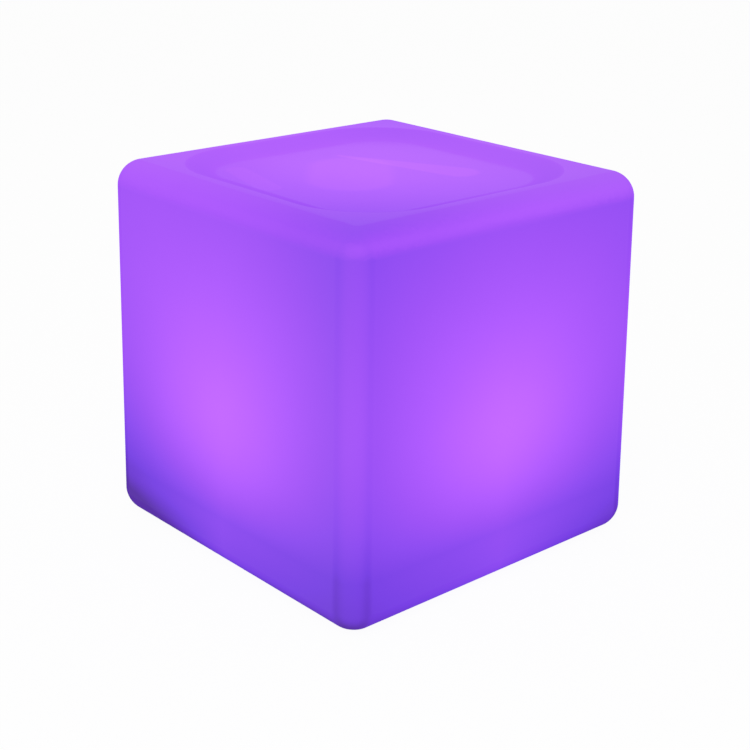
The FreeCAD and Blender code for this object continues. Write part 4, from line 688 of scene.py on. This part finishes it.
def make_grip_ribs():
    """Upright ribs along both flanks of the grip bar."""
    form = bmesh.new()
    out = GRIP_HALF_WIDTH - (PLATE_FACE - RIB_MIDDLE) * math.tan(GRIP_DRAFT) - RIB_SUNK
    for side in (-1, 1):
        for count in range(RIBS_A_SIDE):
            x = (count - (RIBS_A_SIDE - 1) / 2) * RIB_SPACING
            lean = Matrix.Rotation(-side * GRIP_DRAFT, 4, "X")
            place = Matrix.Translation((x, side * out, RIB_MIDDLE)) @ lean
            bmesh.ops.create_cube(form, size=1.0, matrix=place @ Matrix.Diagonal((*RIB_SIZE, 1.0)))
    round_edges(form, RIB_EDGE)
    finish_piece(form, "grip_ribs", "white_moulding", "lamp_unit", crease=60.0)


def make_turn_marks():
    """Two raised points that face each other once the lamp unit is screwed home."""
    for name, body, out, toward, level in (
        ("ring_mark", "shell", RING_MARK_SPOT, math.pi / 2, RING_FACE),
        ("plate_mark", "lamp_unit", PLATE_MARK_SPOT, -math.pi / 2, PLATE_FACE),
    ):
        form = bmesh.new()
        place = Matrix.Translation((0, -out, level)) @ Matrix.Rotation(toward, 4, "Z")
        bmesh.ops.create_cone(
            form, cap_ends=True, segments=3, radius1=POINT_RADIUS, radius2=POINT_RADIUS,
            depth=POINT_DEPTH, matrix=place,
        )
        round_edges(form, POINT_EDGE)
        finish_piece(form, name, "white_moulding", body)


def make_button_mark():
    """The on and off sign on the button: an open ring with a bar in its gap."""
    form = bmesh.new()
    middle = BUTTON_SPOT + Vector((0, 0, MARK_LEVEL + MARK_HEIGHT / 2))
    corners = [(MARK_INSIDE, -1), (MARK_OUTSIDE, -1), (MARK_OUTSIDE, 1), (MARK_INSIDE, 1)]
    offsets = [Vector((0, out, side * MARK_HEIGHT / 2)) for out, side in corners]
    section = [form.verts.new(middle + offset) for offset in offsets]
    face = form.faces.new(section)
    bmesh.ops.rotate(form, verts=section, cent=middle, matrix=Matrix.Rotation(MARK_GAP, 3, "Z"))
    bmesh.ops.spin(
        form, geom=[face, *face.edges, *section], cent=middle, axis=(0, 0, 1),
        angle=2 * math.pi - 2 * MARK_GAP, steps=28, use_duplicate=False,
    )
    bar = Matrix.Translation(middle + Vector((0, BAR_SPOT, 0)))
    size = Matrix.Diagonal((BAR_WIDTH, BAR_LENGTH, MARK_HEIGHT, 1.0))
    bmesh.ops.create_cube(form, size=1.0, matrix=bar @ size)
    finish_piece(form, "button_mark", "white_moulding", "button")


def make_spring():
    """The button's spring, a smooth copy with a mesh of its own."""
    spring = smooth_copy("button_spring", "nickel", "lamp_unit")
    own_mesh(spring)


def build_object():
    dress_nodes()
    make_spring()
    make_ring_screws()
    make_feet()
    make_grip_ribs()
    make_turn_marks()
    make_button_mark()
    slots = {part["node"]: part["material_slot"] for part in frame["record"]["subparts"]}
    for body, nodes in SMOOTHED.items():
        for node in nodes:
            smooth_copy(node, slots[node], body)


# ------------------------------------------------------ camera, floor, lights

VIEW_AZIMUTH = math.radians(-41.66)
VIEW_HEIGHT = math.radians(20.521)
VIEW_ROLL = math.radians(0.695)
VIEW_DISTANCE = 1.6251
VIEW_RIGHT, VIEW_LIFT = 0.00353, -0.03003
LENS = 73.14
SOFTBOX_AIM = Vector((0, 0, 0.2))
WHITE_SHARE = 0.96         # of the floor as the camera sees it; the rest takes the shadow


def add_camera():
    """The camera stands to the left of the front, a little above the cube's top."""
    back = Vector((
        math.sin(VIEW_AZIMUTH) * math.cos(VIEW_HEIGHT),
        -math.cos(VIEW_AZIMUTH) * math.cos(VIEW_HEIGHT),
        math.sin(VIEW_HEIGHT),
    ))
    right = (-back).cross(Vector((0, 0, 1))).normalized()
    up = right.cross(-back)
    across = math.cos(VIEW_ROLL) * right + math.sin(VIEW_ROLL) * up
    above = math.cos(VIEW_ROLL) * up - math.sin(VIEW_ROLL) * right
    middle = Vector((0, 0, (cad_box[0].z + cad_box[1].z) / 2))
    spot = middle + back * VIEW_DISTANCE + right * VIEW_RIGHT + Vector((0, 0, VIEW_LIFT))
    camera = bpy.data.objects.new("camera", bpy.data.cameras.new("camera"))
    bpy.context.scene.collection.objects.link(camera)
    stance = Matrix((across, above, back)).transposed().to_4x4()
    camera.matrix_world = Matrix.Translation(spot) @ stance
    camera.data.sensor_width = 36.0
    camera.data.lens = LENS
    bpy.context.scene.camera = camera


def backdrop_seen(shader):
    """1 for the rays that see the backdrop as white: the camera's, gloss and glass."""
    rays = shader.tree.nodes.new("ShaderNodeLightPath")
    kinds = ("Is Camera Ray", "Is Glossy Ray", "Is Transmission Ray")
    camera, gloss, glass = (Wire(shader, rays.outputs[kind]) for kind in kinds)
    return camera.most(gloss).most(glass)


def add_floor():
    """A pale floor that the camera sees as white but for the cube's soft shadow.

    It lets the light from below through, so that the cube's underside is lit too."""
    form = bmesh.new()
    bmesh.ops.create_grid(form, x_segments=1, y_segments=1, size=6.0)
    mesh = bpy.data.meshes.new("floor")
    form.to_mesh(mesh)
    form.free()
    floor = bpy.data.objects.new("floor", mesh)
    bpy.context.scene.collection.objects.link(floor)
    shader = Shader("floor", Base_Color=(0.9, 0.9, 0.9, 1.0), Roughness=0.9)
    shader.feed(Specular_IOR_Level=0.1)
    tree = shader.tree
    glow = shader.node("ShaderNodeEmission", {}, (1.0, 1.0, 1.0, 1.0), 1.0)
    below = Wire(shader, tree.nodes.new("ShaderNodeNewGeometry").outputs["Backfacing"])
    rays = tree.nodes.new("ShaderNodeLightPath")
    for kind in ("Is Shadow Ray", "Is Diffuse Ray"):
        below = below.most(Wire(shader, rays.outputs[kind]))
    clear = shader.node("ShaderNodeBsdfTransparent", {})
    paper = Wire(shader, shader.surface.outputs[0])
    white = shader.node("ShaderNodeMixShader", {}, backdrop_seen(shader) * WHITE_SHARE, paper, glow)
    out = shader.node("ShaderNodeMixShader", {}, below, white, clear)
    tree.links.new(out.socket, tree.nodes["Material Output"].inputs["Surface"])
    mesh.materials.append(shader.material)


def add_softbox(name, spot, width, height, power):
    """A rectangular light at a spot, turned to the cube's middle."""
    light = bpy.data.lights.new(name, "AREA")
    light.shape = "RECTANGLE"
    light.size, light.size_y = width, height
    light.energy = power
    box = bpy.data.objects.new(name, light)
    bpy.context.scene.collection.objects.link(box)
    box.location = spot
    box.rotation_euler = (Vector(spot) - SOFTBOX_AIM).to_track_quat("Z", "Y").to_euler()


def add_world():
    """Grey daylight all round, which the camera and the gloss see as white."""
    world = bpy.data.worlds.new("studio")
    world.use_nodes = True
    tree = world.node_tree
    back = tree.nodes["Background"]
    back.inputs["Color"].default_value = (1.0, 1.0, 1.0, 1.0)
    strength = backdrop_seen(Nodes(tree)) * 0.5 + 0.5
    tree.links.new(strength.socket, back.inputs["Strength"])
    bpy.context.scene.world = world


def light_scene():
    add_world()
    add_softbox("key", (-1.6, -1.5, 2.4), width=1.6, height=1.6, power=44.0)
    add_softbox("rim", (1.64, 1.76, 0.95), width=0.7, height=0.25, power=1.0)
    bpy.context.scene.view_settings.view_transform = "Standard"


add_camera()
add_floor()
light_scene()
build_object()
